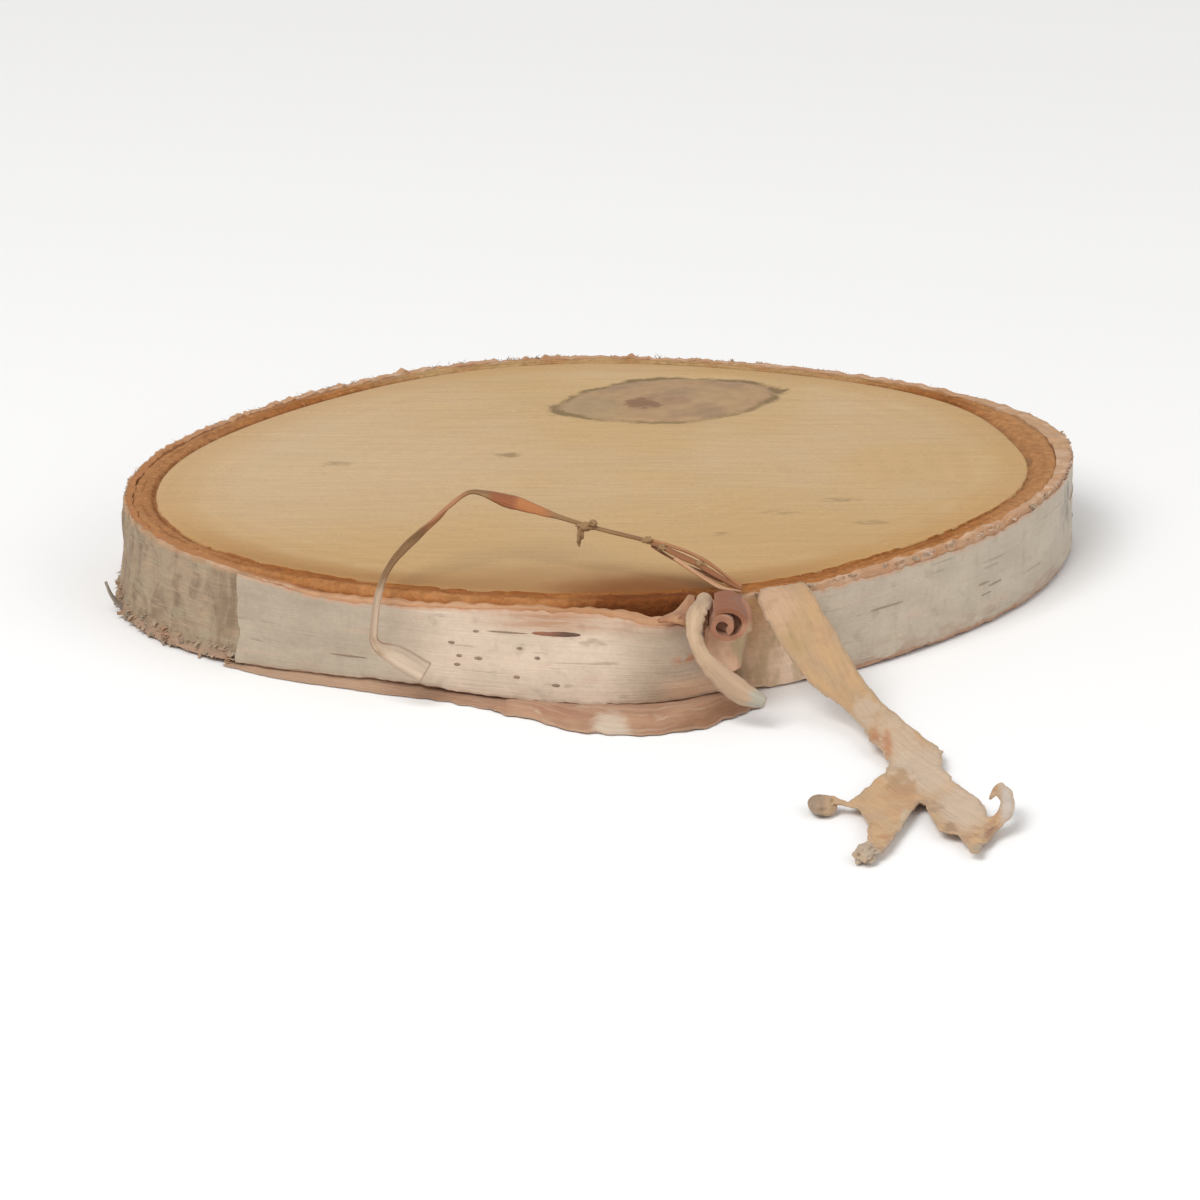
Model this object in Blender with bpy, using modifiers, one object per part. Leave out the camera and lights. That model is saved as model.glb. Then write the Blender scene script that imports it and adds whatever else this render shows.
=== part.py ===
"""A slice of birch branch, sawn across, with its bark on and torn strips of bark hanging from the rim.

Metres, +Z up. The origin is on the underside at the middle of the sawn disc. +X is the long way of the oval,
and the torn side of the bark faces -Y. The slice lies flat, as it rests on a table.
"""

import math
import random

import bmesh
import bpy
from mathutils import Vector

MM = 0.001
SEED = 11

# The sawn disc
SLICE_HEIGHT = 10.0 * MM
MEAN_RADIUS = 43.1 * MM
# How the branch departs from round: waves round the rim, swing, and the way the first crest points in degrees
RIM_LOBES = ((1, 0.8 * MM, 165.0), (2, 4.2 * MM, 16.0), (4, 1.2 * MM, 17.0))
CORNER_ANGLE = 17.0
CORNER_SPREAD = 13.0
CORNER_BULGE = 1.3 * MM
OUTLINE_POINTS = 132

# The bark: both layers together, thick at the corner and thin at the back
BARK_DEPTH = 3.3 * MM
CORNER_EXTRA_DEPTH = 2.6 * MM
BACK_ANGLE = 85.0
BACK_SPREAD = 42.0
BACK_THINNER = 1.0 * MM
OUTER_WALL = 0.9 * MM
CORNER_EXTRA_WALL = 1.1 * MM
TOUCH_GAP = 0.3 * MM

# The outer bark is one sheet, torn at the front: its left end stands off as a flap over its right end
SHEET_START = -81.0
SHEET_END = 284.0
SHEET_COLUMNS = 140
SHEET_ROWS = 4
FLAP_CREST_ANGLE = -81.0
FLAP_CREST_SPREAD = 6.5
FLAP_TOP_BOW = 3.6 * MM
FLAP_FOOT_ANGLE = -90.0
FLAP_FOOT_SPREAD = 15.0
FLAP_FOOT_BOW = 2.8 * MM
LIFTED_FROM = -147.0
LIFTED_TO = -66.0
LIFTED_HEIGHT = 1.15 * MM
FOOT_CLEAR = 0.15 * MM
# The torn ribbons still hold on to the rim along this stretch, so the rim is whole there
ROOTS_ANGLE = -69.0
ROOTS_SPREAD = 10.0
RAGGED_TOP = 0.35 * MM
RAGGED_FOOT = 0.55 * MM
FLARE_ANGLE = -160.0
FLARE_SPREAD = 17.0
FLARE = 1.3 * MM
GRAIN_SWELL = 0.12 * MM

# Short torn fibres that stand out of the sheet: how many, the stretch of rim that they stand on in degrees,
# how much of the flare they follow, and from least to most their length, the height of their root and their
# climb for each step outwards
FOOT_SHREDS = {
    "count": 9,
    "stretch": (-178.0, -146.0),
    "flare": 0.8,
    "length": (1.0 * MM, 2.4 * MM),
    "height": (1.0 * MM, 2.6 * MM),
    "climb": (-0.1, 0.15),
}
BACK_SHREDS = {
    "count": 9,
    "stretch": (28.0, 150.0),
    "flare": 0.0,
    "length": (0.7 * MM, 1.6 * MM),
    "height": (9.0 * MM, 9.2 * MM),
    "climb": (0.55, 0.95),
}
SHRED_SIDES = 4
SHRED_ROOT = 0.4 * MM
SHRED_TIP = 0.14 * MM
SHRED_SUNK = 0.45 * MM
SHRED_SWAY = 0.6

# The layer that is bent out onto the table at the foot of the flap
LIP_START = -142.0
LIP_END = -69.5
LIP_COLUMNS = 36
LIP_ROWS = 6
LIP_REACH = 10.4 * MM
LIP_CREST_ANGLE = -86.0
LIP_SPREAD = 17.0
LIP_EDGE = 1.0 * MM
LIP_SWELL = 1.3 * MM
LIP_NOTCH = 0.05
LIP_NOTCH_WAVES = 23.0

# Bark paper, where it hangs free
PAPER = 0.7 * MM

# Torn ribbons: places along the middle (x, y, z) and half width in mm, then the way the width lies
LOOP_ROUTE = (
    ((13.4, -36.9, 10.65), 0.55, (0.2, 1.0, 0.0)),
    ((11.6, -36.9, 11.6), 0.8, (0.2, 1.0, 0.1)),
    ((9.6, -36.3, 12.7), 0.8, (0.0, 1.0, 0.3)),
    ((7.0, -34.8, 13.5), 0.6, (0.0, 1.0, 0.5)),
    ((4.5, -33.6, 14.3), 0.8, (0.0, 1.0, 0.5)),
    ((-0.3, -31.8, 15.0), 0.5, (0.0, 1.0, 0.5)),
    ((-3.7, -30.8, 15.7), 0.5, (0.0, 1.0, 0.4)),
    ((-7.1, -29.8, 16.7), 1.0, (0.0, 1.0, 0.3)),
    ((-10.2, -29.2, 17.4), 0.9, (0.1, 1.0, 0.3)),
    ((-13.0, -28.8, 17.9), 0.5, (0.2, 1.0, 0.2)),
    ((-15.0, -29.6, 17.0), 0.8, (0.5, 1.0, 0.2)),
    ((-17.2, -31.2, 15.6), 0.9, (0.7, 1.0, 0.2)),
    ((-19.8, -33.8, 14.1), 0.6, (0.9, 0.9, 0.1)),
    ((-21.5, -36.8, 13.0), 0.45, (1.0, 0.6, 0.0)),
    ((-22.1, -39.8, 11.4), 0.45, (1.0, 0.2, 0.0)),
    ((-22.3, -41.4, 8.8), 0.45, (1.0, 0.1, 0.0)),
    ((-22.0, -41.8, 6.9), 0.7, (1.0, 0.1, 0.3)),
    ((-19.9, -42.1, 5.5), 1.1, (0.5, 0.1, 1.0)),
    ((-17.3, -42.5, 4.0), 1.1, (0.5, 0.1, 1.0)),
)
CURL_ROUTE = (
    ((9.7, -38.9, 10.65), 0.8, (1.0, 0.0, 0.0)),
    ((9.4, -41.0, 10.65), 0.9, (1.0, 0.0, 0.0)),
    ((8.9, -43.6, 11.0), 1.1, (1.0, 0.1, 0.0)),
    ((8.5, -45.4, 10.5), 1.3, (1.0, 0.1, 0.0)),
    ((8.5, -46.4, 8.9), 1.3, (1.0, 0.1, 0.1)),
    ((9.5, -46.9, 7.0), 1.3, (1.0, 0.1, 0.4)),
    ((11.1, -47.5, 5.4), 1.3, (1.0, 0.1, 0.8)),
    ((13.1, -48.3, 3.9), 1.2, (0.7, 0.1, 1.0)),
    ((15.7, -48.8, 3.1), 0.5, (0.3, 0.1, 1.0)),
)
TONGUE_ROUTE = (
    ((11.9, -38.2, 10.65), 0.8, (1.0, 0.3, 0.0)),
    ((12.3, -40.3, 10.7), 1.1, (1.0, 0.3, 0.0)),
    ((12.8, -41.8, 10.0), 1.4, (1.0, 0.3, 0.0)),
    ((12.9, -42.3, 8.5), 1.4, (1.0, 0.3, 0.0)),
    ((12.8, -41.9, 7.0), 1.2, (1.0, 0.3, 0.1)),
    ((12.7, -41.9, 5.5), 0.8, (1.0, 0.3, 0.1)),
    ((12.5, -42.3, 4.0), 0.35, (1.0, 0.3, 0.1)),
)
ROUTE_STEPS = 3

# The forked ribbon: its outline seen from above, in mm, and how it comes down from the rim to the table
FORK_OUTLINE = (
    (15.0, -35.7), (15.2, -38.1), (15.8, -39.9), (16.8, -41.6), (18.4, -43.6), (20.3, -45.9), (23.0, -48.4),
    (24.8, -51.8), (25.7, -55.6), (27.0, -58.3), (26.9, -62.0), (25.2, -66.0), (23.8, -69.0), (23.2, -70.9),
    (22.2, -70.9), (20.9, -68.6), (19.4, -69.0), (19.1, -71.6), (20.4, -73.3), (22.0, -72.1), (23.6, -72.6),
    (24.6, -76.0), (24.7, -80.7), (23.8, -83.4), (25.0, -85.1), (26.4, -83.4), (27.6, -79.5), (28.9, -74.6),
    (29.9, -71.2), (30.8, -75.2), (31.8, -78.0), (32.9, -78.5), (34.7, -84.8), (36.6, -79.6), (38.6, -77.4),
    (39.2, -75.2), (38.9, -72.8), (38.0, -73.0), (37.9, -75.0), (36.8, -75.8), (35.6, -71.2), (33.8, -66.4),
    (32.4, -61.6), (32.5, -57.7), (31.6, -55.0), (28.5, -50.2), (26.4, -47.7), (24.2, -45.3), (22.6, -42.7),
    (21.2, -41.2), (19.8, -39.0), (18.8, -35.5),
)
FORK_SLICES = 28
# Above 1 the slices lie closer near the rim, where the ribbon bends most
FORK_SLICE_CROWDING = 1.3
FORK_FALL_FROM = -36.5 * MM
FORK_FALL = 8.4 * MM
FORK_FALL_POWER = 1.6
FORK_RIPPLE = 0.35 * MM
FORK_RIPPLE_LENGTH = 9.0 * MM
# Past this line, far down the ribbon, its last corner turns up as a small hook
HOOK_FROM = 36.6 * MM
HOOK_BELOW = -70.0 * MM
HOOK_RISE = 0.8

WELD = 0.01 * MM
SHARP_EDGE = 35.0

WOOD_COLOUR = (0.62, 0.45, 0.25, 1.0)
BAST_COLOUR = (0.45, 0.19, 0.07, 1.0)
PAPER_COLOUR = (0.63, 0.58, 0.50, 1.0)
LIP_COLOUR = (0.50, 0.28, 0.20, 1.0)
PEACH_COLOUR = (0.72, 0.47, 0.28, 1.0)
RUST_COLOUR = (0.48, 0.23, 0.11, 1.0)
CURL_COLOUR = (0.70, 0.60, 0.50, 1.0)


def clear_scene():
    for old in list(bpy.data.objects):
        bpy.data.objects.remove(old, do_unlink=True)


def collection(name):
    made = bpy.data.collections.new(name)
    bpy.context.scene.collection.children.link(made)
    return made


def material(name, colour, roughness):
    made = bpy.data.materials.new(name)
    made.use_nodes = True
    shader = made.node_tree.nodes["Principled BSDF"]
    shader.inputs["Base Color"].default_value = colour
    shader.inputs["Roughness"].default_value = roughness
    shader.inputs["Metallic"].default_value = 0.0
    return made


def move_to(piece, home):
    for old in list(piece.users_collection):
        old.objects.unlink(piece)
    home.objects.link(piece)


def adopt(piece, home, finish):
    """Puts a piece in its collection, with its material, shaded smooth between sharp edges."""
    move_to(piece, home)
    piece.data.materials.clear()
    piece.data.materials.append(finish)
    piece.data.shade_smooth()
    piece.data.set_sharp_from_angle(angle=math.radians(SHARP_EDGE))


def hump(angle, crest, spread):
    """One smooth hump round the rim: 1 at its crest, and near 0 two spreads away."""
    away = (angle - crest + 180.0) % 360.0 - 180.0
    return math.exp(-((away / spread) ** 2))


def rim_radius(angle):
    """The outer face of the bark, from the middle of the disc, for an angle in degrees."""
    radius = MEAN_RADIUS + CORNER_BULGE * hump(angle, CORNER_ANGLE, CORNER_SPREAD)
    for waves, swing, first in RIM_LOBES:
        radius += swing * math.cos(math.radians(waves * (angle - first)))
    return radius


def outer_wall(angle):
    return OUTER_WALL + CORNER_EXTRA_WALL * hump(angle, CORNER_ANGLE, CORNER_SPREAD)


def wood_radius(angle):
    depth = BARK_DEPTH + CORNER_EXTRA_DEPTH * hump(angle, CORNER_ANGLE, CORNER_SPREAD)
    depth -= BACK_THINNER * hump(angle, BACK_ANGLE, BACK_SPREAD)
    return rim_radius(angle) - depth


def bast_radius(angle):
    """The outer face of the inner bark, just clear of the sheet round it."""
    return rim_radius(angle) - outer_wall(angle) - TOUCH_GAP


def around(angle, radius, height):
    turn = math.radians(angle)
    return Vector((radius * math.cos(turn), radius * math.sin(turn), height))


def add_loop(curve, radius_at):
    spline = curve.splines.new("POLY")
    spline.points.add(OUTLINE_POINTS - 1)
    for number, point in enumerate(spline.points):
        angle = 360.0 * number / OUTLINE_POINTS
        point.co = (*around(angle, radius_at(angle), 0.0), 1.0)
    spline.use_cyclic_u = True


def mesh_from_curve(name, curve):
    """A curve's filled and raised form as a mesh object of its own, with its caps welded."""
    guide = bpy.data.objects.new(name + "_guide", curve)
    bpy.context.scene.collection.objects.link(guide)
    depsgraph = bpy.context.evaluated_depsgraph_get()
    mesh = bpy.data.meshes.new_from_object(guide.evaluated_get(depsgraph))
    bpy.data.objects.remove(guide, do_unlink=True)
    bpy.data.curves.remove(curve)
    weld(mesh)
    mesh.name = name
    piece = bpy.data.objects.new(name, mesh)
    bpy.context.scene.collection.objects.link(piece)
    return piece


def weld(mesh):
    cage = bmesh.new()
    cage.from_mesh(mesh)
    bmesh.ops.remove_doubles(cage, verts=cage.verts, dist=WELD)
    cage.to_mesh(mesh)
    cage.free()


def sawn_plate(name, loops):
    """A plate sawn square at both faces, with the given loops as its outline and its hole."""
    curve = bpy.data.curves.new(name, "CURVE")
    curve.dimensions = "2D"
    curve.fill_mode = "BOTH"
    curve.extrude = SLICE_HEIGHT / 2
    for radius_at in loops:
        add_loop(curve, radius_at)
    piece = mesh_from_curve(name, curve)
    for vertex in piece.data.vertices:
        vertex.co.z += SLICE_HEIGHT / 2
    return piece


def grid(name, columns, rows, place):
    """A flat grid whose every corner is put where place(across, up) says, both running from 0 to 1."""
    bpy.ops.mesh.primitive_grid_add(x_subdivisions=columns, y_subdivisions=rows, size=1.0)
    piece = bpy.context.object
    piece.name = name
    piece.data.name = name
    for vertex in piece.data.vertices:
        vertex.co = place(vertex.co.x + 0.5, vertex.co.y + 0.5)
    return piece


def split_faces(piece):
    """Cuts every face into triangles, so that both sides of a thin waved sheet bend at the same lines."""
    cage = bmesh.new()
    cage.from_mesh(piece.data)
    bmesh.ops.triangulate(cage, faces=cage.faces)
    cage.to_mesh(piece.data)
    cage.free()


def thicken(piece, thickness, offset, weights=""):
    """Gives an open sheet its thickness: inwards at offset -1, to both sides at 0, outwards at 1."""
    solidify = piece.modifiers.new("thickness", "SOLIDIFY")
    solidify.thickness = thickness
    solidify.offset = offset
    solidify.use_even_offset = True
    solidify.vertex_group = weights


def make_wood():
    return sawn_plate("wood", [wood_radius])


def make_inner_bark():
    return sawn_plate("inner_bark", [bast_radius, lambda angle: wood_radius(angle) + TOUCH_GAP])


def torn_edge(dice, depth):
    """One random height for each column of the sheet, smoothed so that the edge is torn, not sawtoothed."""
    raw = [dice.random() for _ in range(SHEET_COLUMNS + 1)]
    last = SHEET_COLUMNS
    return [depth * (raw[max(n - 1, 0)] + 2 * raw[n] + raw[min(n + 1, last)]) / 4 for n in range(last + 1)]


def foot_flare(angle):
    return FLARE * hump(angle, FLARE_ANGLE, FLARE_SPREAD)


def make_outer_bark(dice):
    top_tear = torn_edge(dice, RAGGED_TOP)
    foot_tear = torn_edge(dice, RAGGED_FOOT)
    swell = torn_edge(dice, GRAIN_SWELL)

    def place(across, up):
        column = round(across * SHEET_COLUMNS)
        angle = SHEET_START + (SHEET_END - SHEET_START) * across
        on_flap = across > 0.5
        bow = FLAP_TOP_BOW * up * hump(angle, FLAP_CREST_ANGLE, FLAP_CREST_SPREAD)
        bow += FLAP_FOOT_BOW * (1 - up) * hump(angle, FLAP_FOOT_ANGLE, FLAP_FOOT_SPREAD)
        radius = rim_radius(angle) + swell[column] + (bow if on_flap else 0.0)
        radius += foot_flare(angle) * (1 - up) ** 2
        lifted = LIFTED_FROM < (angle if angle < 0.0 else angle - 360.0) < LIFTED_TO
        foot = foot_tear[column] + (LIFTED_HEIGHT if lifted else FOOT_CLEAR)
        top = SLICE_HEIGHT - top_tear[column] * (1.0 - hump(angle, ROOTS_ANGLE, ROOTS_SPREAD))
        return around(angle, radius, foot + (top - foot) * up)

    piece = grid("outer_bark", SHEET_COLUMNS, SHEET_ROWS, place)
    wall = OUTER_WALL + CORNER_EXTRA_WALL
    group = piece.vertex_groups.new(name="wall")
    for vertex in piece.data.vertices:
        angle = math.degrees(math.atan2(vertex.co.y, vertex.co.x))
        group.add([vertex.index], outer_wall(angle) / wall, "REPLACE")
    split_faces(piece)
    thicken(piece, wall, -1.0, group.name)
    return piece


def make_shreds(dice, cutters, kind):
    """Short torn fibres, each a slim spike with its root sunk in the sheet."""
    start, end = kind["stretch"]
    for number in range(kind["count"]):
        angle = start + (end - start) * (number + dice.random()) / kind["count"]
        reach = dice.uniform(*kind["length"]) + SHRED_SUNK
        radius = rim_radius(angle) + kind["flare"] * foot_flare(angle) - SHRED_SUNK
        root = around(angle, radius, dice.uniform(*kind["height"]))
        outwards = around(angle, 1.0, dice.uniform(*kind["climb"]))
        sideways = around(angle + 90.0, 1.0, 0.0) * dice.uniform(-SHRED_SWAY, SHRED_SWAY)
        along = (outwards + sideways).normalized()
        bpy.ops.mesh.primitive_cone_add(
            vertices=SHRED_SIDES,
            radius1=SHRED_ROOT,
            radius2=SHRED_TIP,
            depth=reach,
            location=root + along * reach / 2,
            rotation=along.to_track_quat("Z", "Y").to_euler(),
        )
        shred = bpy.context.object
        shred.name = f"shred_{len(cutters.objects)}"
        shred.hide_render = True
        shred.display_type = "WIRE"
        move_to(shred, cutters)


def join_shreds(piece, cutters):
    union = piece.modifiers.new("shreds", "BOOLEAN")
    union.operation = "UNION"
    union.operand_type = "COLLECTION"
    union.collection = cutters
    union.solver = "MANIFOLD"
    depsgraph = bpy.context.evaluated_depsgraph_get()
    mesh = bpy.data.meshes.new_from_object(piece.evaluated_get(depsgraph))
    piece.modifiers.clear()
    piece.data = mesh
    for shred in list(cutters.objects):
        bpy.data.objects.remove(shred, do_unlink=True)
    bpy.data.collections.remove(cutters)


def lip_reach(angle):
    """How far the bent-out layer stands past the foot of the bark."""
    return LIP_EDGE + (LIP_REACH - LIP_EDGE) * hump(angle, LIP_CREST_ANGLE, LIP_SPREAD)


def make_peeled_lip():
    def place(out, across):
        angle = LIP_START + (LIP_END - LIP_START) * across
        inner = bast_radius(angle) + TOUCH_GAP
        notch = LIP_NOTCH * math.sin(math.radians(LIP_NOTCH_WAVES * angle))
        outer = rim_radius(angle) + lip_reach(angle) * (1.0 + notch)
        clear = rim_radius(angle) + FLAP_FOOT_BOW + TOUCH_GAP
        radius = inner + (outer - inner) * out
        past = max(0.0, radius - clear) / max(outer - clear, MM)
        height = LIP_SWELL * math.sin(math.pi * min(past, 1.0)) if outer > clear + MM else 0.0
        return around(angle, radius, height)

    piece = grid("peeled_lip", LIP_ROWS, LIP_COLUMNS, place)
    split_faces(piece)
    thicken(piece, PAPER, 1.0)
    return piece


def blend_rows(rows, share):
    """A smooth curve through rows of numbers: the row that lies this share of the way along."""
    run = share * (len(rows) - 1)
    first = min(int(run), len(rows) - 2)
    part = run - first
    before, here, after, beyond = (rows[max(0, min(first + n, len(rows) - 1))] for n in (-1, 0, 1, 2))
    blended = []
    for b, h, a, c in zip(before, here, after, beyond):
        leaving, arriving = (a - b) / 2, (c - h) / 2
        bend = (1 - part) * (leaving - (a - h)) + part * ((a - h) - arriving)
        blended.append(h + part * (a - h) + part * (1 - part) * bend)
    return blended


def make_ribbon(name, route):
    """A torn ribbon of bark: a narrow grid laid along its route, given the thickness of paper."""
    rows = [[*middle, half_width, *width_way] for middle, half_width, width_way in route]
    columns = ROUTE_STEPS * (len(route) - 1)

    def place(along, over):
        x, y, z, half_width, *width_way = blend_rows(rows, along)
        ahead = Vector(blend_rows(rows, min(along + 0.01, 1.0))[:3])
        behind = Vector(blend_rows(rows, max(along - 0.01, 0.0))[:3])
        tangent = (ahead - behind).normalized()
        side = Vector(width_way)
        side = (side - tangent * side.dot(tangent)).normalized()
        return (Vector((x, y, z)) + side * half_width * (2.0 * over - 1.0)) * MM

    piece = grid(name, columns, 1, place)
    split_faces(piece)
    thicken(piece, PAPER, 0.0)
    return piece


def fork_height(x, y):
    """The underside of the forked ribbon: down from the rim in a smooth fall, then along the table."""
    run = max(0.0, FORK_FALL_FROM - y)
    fall = math.exp(-((run / FORK_FALL) ** FORK_FALL_POWER))
    ripple = FORK_RIPPLE * (1.0 - math.cos(math.tau * run / FORK_RIPPLE_LENGTH)) / 2
    hook = HOOK_RISE * max(0.0, x - HOOK_FROM) if y < HOOK_BELOW else 0.0
    return (SLICE_HEIGHT + TOUCH_GAP) * fall + ripple * (1.0 - fall) + hook


def make_forked_strip():
    curve = bpy.data.curves.new("forked_strip", "CURVE")
    curve.dimensions = "2D"
    curve.fill_mode = "BOTH"
    spline = curve.splines.new("POLY")
    spline.points.add(len(FORK_OUTLINE) - 1)
    for point, (x, y) in zip(spline.points, FORK_OUTLINE):
        point.co = (x * MM, y * MM, 0.0, 1.0)
    spline.use_cyclic_u = True
    piece = mesh_from_curve("forked_strip", curve)
    cage = bmesh.new()
    cage.from_mesh(piece.data)
    lowest = min(y for _, y in FORK_OUTLINE) * MM
    highest = FORK_OUTLINE[0][1] * MM
    for number in range(1, FORK_SLICES):
        share = (number / FORK_SLICES) ** FORK_SLICE_CROWDING
        level = Vector((0.0, highest + (lowest - highest) * share, 0.0))
        everything = [*cage.verts, *cage.edges, *cage.faces]
        bmesh.ops.bisect_plane(cage, geom=everything, dist=WELD, plane_co=level, plane_no=(0, 1, 0))
    bmesh.ops.triangulate(cage, faces=cage.faces)
    for vertex in cage.verts:
        vertex.co.z = fork_height(vertex.co.x, vertex.co.y)
    bmesh.ops.recalc_face_normals(cage, faces=cage.faces)
    if sum(face.normal.z for face in cage.faces) < 0:
        bmesh.ops.reverse_faces(cage, faces=cage.faces)
    cage.to_mesh(piece.data)
    cage.free()
    thicken(piece, PAPER, 1.0)
    return piece


def main():
    clear_scene()
    dice = random.Random(SEED)
    home = collection("birch_wood_slice")
    cutters = collection("shreds")
    wood = material("sawn_birch", WOOD_COLOUR, 0.75)
    bast = material("inner_bark_brown", BAST_COLOUR, 0.85)
    paper = material("white_bark", PAPER_COLOUR, 0.7)
    pink = material("peeled_layer", LIP_COLOUR, 0.8)
    peach = material("torn_peach_bark", PEACH_COLOUR, 0.75)
    rust = material("torn_rust_bark", RUST_COLOUR, 0.8)
    pale = material("pale_curl", CURL_COLOUR, 0.7)

    adopt(make_wood(), home, wood)
    adopt(make_inner_bark(), home, bast)
    sheet = make_outer_bark(dice)
    make_shreds(dice, cutters, FOOT_SHREDS)
    make_shreds(dice, cutters, BACK_SHREDS)
    join_shreds(sheet, cutters)
    adopt(sheet, home, paper)
    adopt(make_peeled_lip(), home, pink)
    adopt(make_forked_strip(), home, peach)
    adopt(make_ribbon("looped_strip", LOOP_ROUTE), home, rust)
    adopt(make_ribbon("bark_curl", CURL_ROUTE), home, pale)
    adopt(make_ribbon("rolled_tongue", TONGUE_ROUTE), home, rust)


main()
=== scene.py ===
"""The looks of a birch slice: sawn wood, inner bark, layered white bark and the torn ribbons on its rim.

Sizes are in millimetres and angles in degrees, seen from above and counted from +X. A turn is an angle that
runs on past 180, from the right end of the bark sheet round the back to the end of the flap. Colours are
linear red, green and blue.
"""

import math
import random

import bpy
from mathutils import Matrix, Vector, noise


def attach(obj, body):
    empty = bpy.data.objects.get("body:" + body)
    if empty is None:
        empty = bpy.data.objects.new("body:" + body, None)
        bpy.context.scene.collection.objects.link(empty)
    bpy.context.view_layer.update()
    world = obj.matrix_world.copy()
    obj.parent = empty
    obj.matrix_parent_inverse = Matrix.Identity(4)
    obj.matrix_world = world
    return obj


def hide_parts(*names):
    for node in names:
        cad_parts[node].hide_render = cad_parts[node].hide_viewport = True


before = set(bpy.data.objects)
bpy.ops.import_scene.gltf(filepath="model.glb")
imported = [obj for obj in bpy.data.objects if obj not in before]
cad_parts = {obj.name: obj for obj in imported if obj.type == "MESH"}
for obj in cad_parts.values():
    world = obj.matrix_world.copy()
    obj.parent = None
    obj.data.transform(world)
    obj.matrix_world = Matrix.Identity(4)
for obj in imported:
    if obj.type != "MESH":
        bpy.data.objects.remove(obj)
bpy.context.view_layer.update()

MM = 0.001
SEED = 23

# The sawn disc and its bark
SLICE_HEIGHT = 10.0
MEAN_RADIUS = 43.1
RIM_LOBES = ((1, 0.8, 165.0), (2, 4.2, 16.0), (4, 1.2, 17.0))
CORNER_ANGLE = 17.0
CORNER_SPREAD = 13.0
CORNER_BULGE = 1.3
BARK_DEPTH = 3.3
CORNER_EXTRA_DEPTH = 2.6
BACK_ANGLE = 85.0
BACK_SPREAD = 42.0
BACK_THINNER = 1.0
OUTER_WALL = 0.9
CORNER_EXTRA_WALL = 1.1
TOUCH_GAP = 0.3
LOWEST = 0.01
DEGREE = MEAN_RADIUS * math.pi / 180.0

# Sections that are turned round the disc, by share of the way out and height: the disc's edge and the ring
WOOD_EDGE = (
    (0.0, 0.0), (0.35, 0.0), (0.7, 0.0), (0.99, 0.0),
    (1.0, 0.2), (1.0, 3.4), (1.0, 6.7), (1.0, 9.75), (0.997, 9.92),
)
FACE_RINGS = 66
WOOD_COLUMNS = 300
RING_COLUMNS = 560
RING_SECTION = (
    (0.0, 0.0), (0.5, 0.0), (1.0, 0.0), (1.0, 2.5), (1.0, 5.0), (1.0, 7.5), (1.0, 9.3), (0.97, 9.8),
    (0.9, 9.97), (0.8, 10.0), (0.7, 10.0), (0.6, 9.95), (0.5, 9.98), (0.4, 10.0), (0.3, 9.97),
    (0.2, 9.88), (0.12, 9.72), (0.05, 9.72), (0.0, 9.9), (0.0, 9.2), (0.0, 5.0), (0.0, 0.0),
)

# The bark sheet, and its flap at the front
SHEET_START = -81.0
SHEET_END = 284.0
SHEET_CELL = 0.32
SHEET_ROWS = 16
SHEET_SUNK = 0.20
FLAP_CREST_ANGLE = -81.0
FLAP_CREST_SPREAD = 6.5
FLAP_TOP_BOW = 3.6
FLAP_FOOT_ANGLE = -90.0
FLAP_FOOT_SPREAD = 15.0
FLAP_FOOT_BOW = 2.8
FLAP_FOOT_REACH = 3.0
FLAP_FOOT_REACH_FROM = 272.0
FLARE_ANGLE = -160.0
FLARE_SPREAD = 17.0
FLARE = 1.3
LIFTED_FROM = -150.0
LIFTED_TO = -65.0
LIFTED_SLOPE = 7.0
LIFTED_HEIGHT = 0.32
LIFTED_HUMP = 0.5
LIFTED_HUMP_ANGLE = -123.0
LIFTED_HUMP_SPREAD = 11.0
FOOT_CLEAR = 0.1
END_CUT_FROM = 279.0
END_CUT = 0.15
CREASE_SINKS_FROM = -70.0
CREASE_SINKS_TO = -81.0
CREASE_SINK = 3.0

# The white paper on the sheet: its right and left stretch, and the turn, sway and run of each one's torn end
RIGHT_PAPER = (-60.3, 177.0)
RIGHT_TEAR = (177.0, 4.0, 4.0)
LEFT_PAPER = (219.5, 283.2)
LEFT_TEAR = (219.5, 0.6, 2.0)
PAPER_LIFT = 0.02
PAPER_THICKNESS = 0.22

# The layer bent out onto the table below the flap
LIP_STRETCH = (-142.0, -69.7)
LIP_EDGE = 1.0
LIP_REACH = 9.2
LIP_CREST_ANGLE = -86.0
LIP_SPREAD = 17.0
LIP_SWELL = 1.25
LIP_THICKNESS = 0.36
LIP_GRID = (150, 18)

# The knot in the sawn face
KNOT_MIDDLE = (6.6, 25.0)
KNOT_TILT = 16.0
KNOT_HALF_LENGTH = 12.2
KNOT_HALF_WIDTH = 7.6
KNOT_POINTEDNESS = 1.6

# Short dark streaks in the sawn face: place and half length
STREAKS = ((23.7, -7.5, 2.6), (26.7, -14.7, 2.2), (17.6, -11.5, 2.4), (11.7, -18.5, 1.2), (-27.0, 4.0, 2.0))

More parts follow.
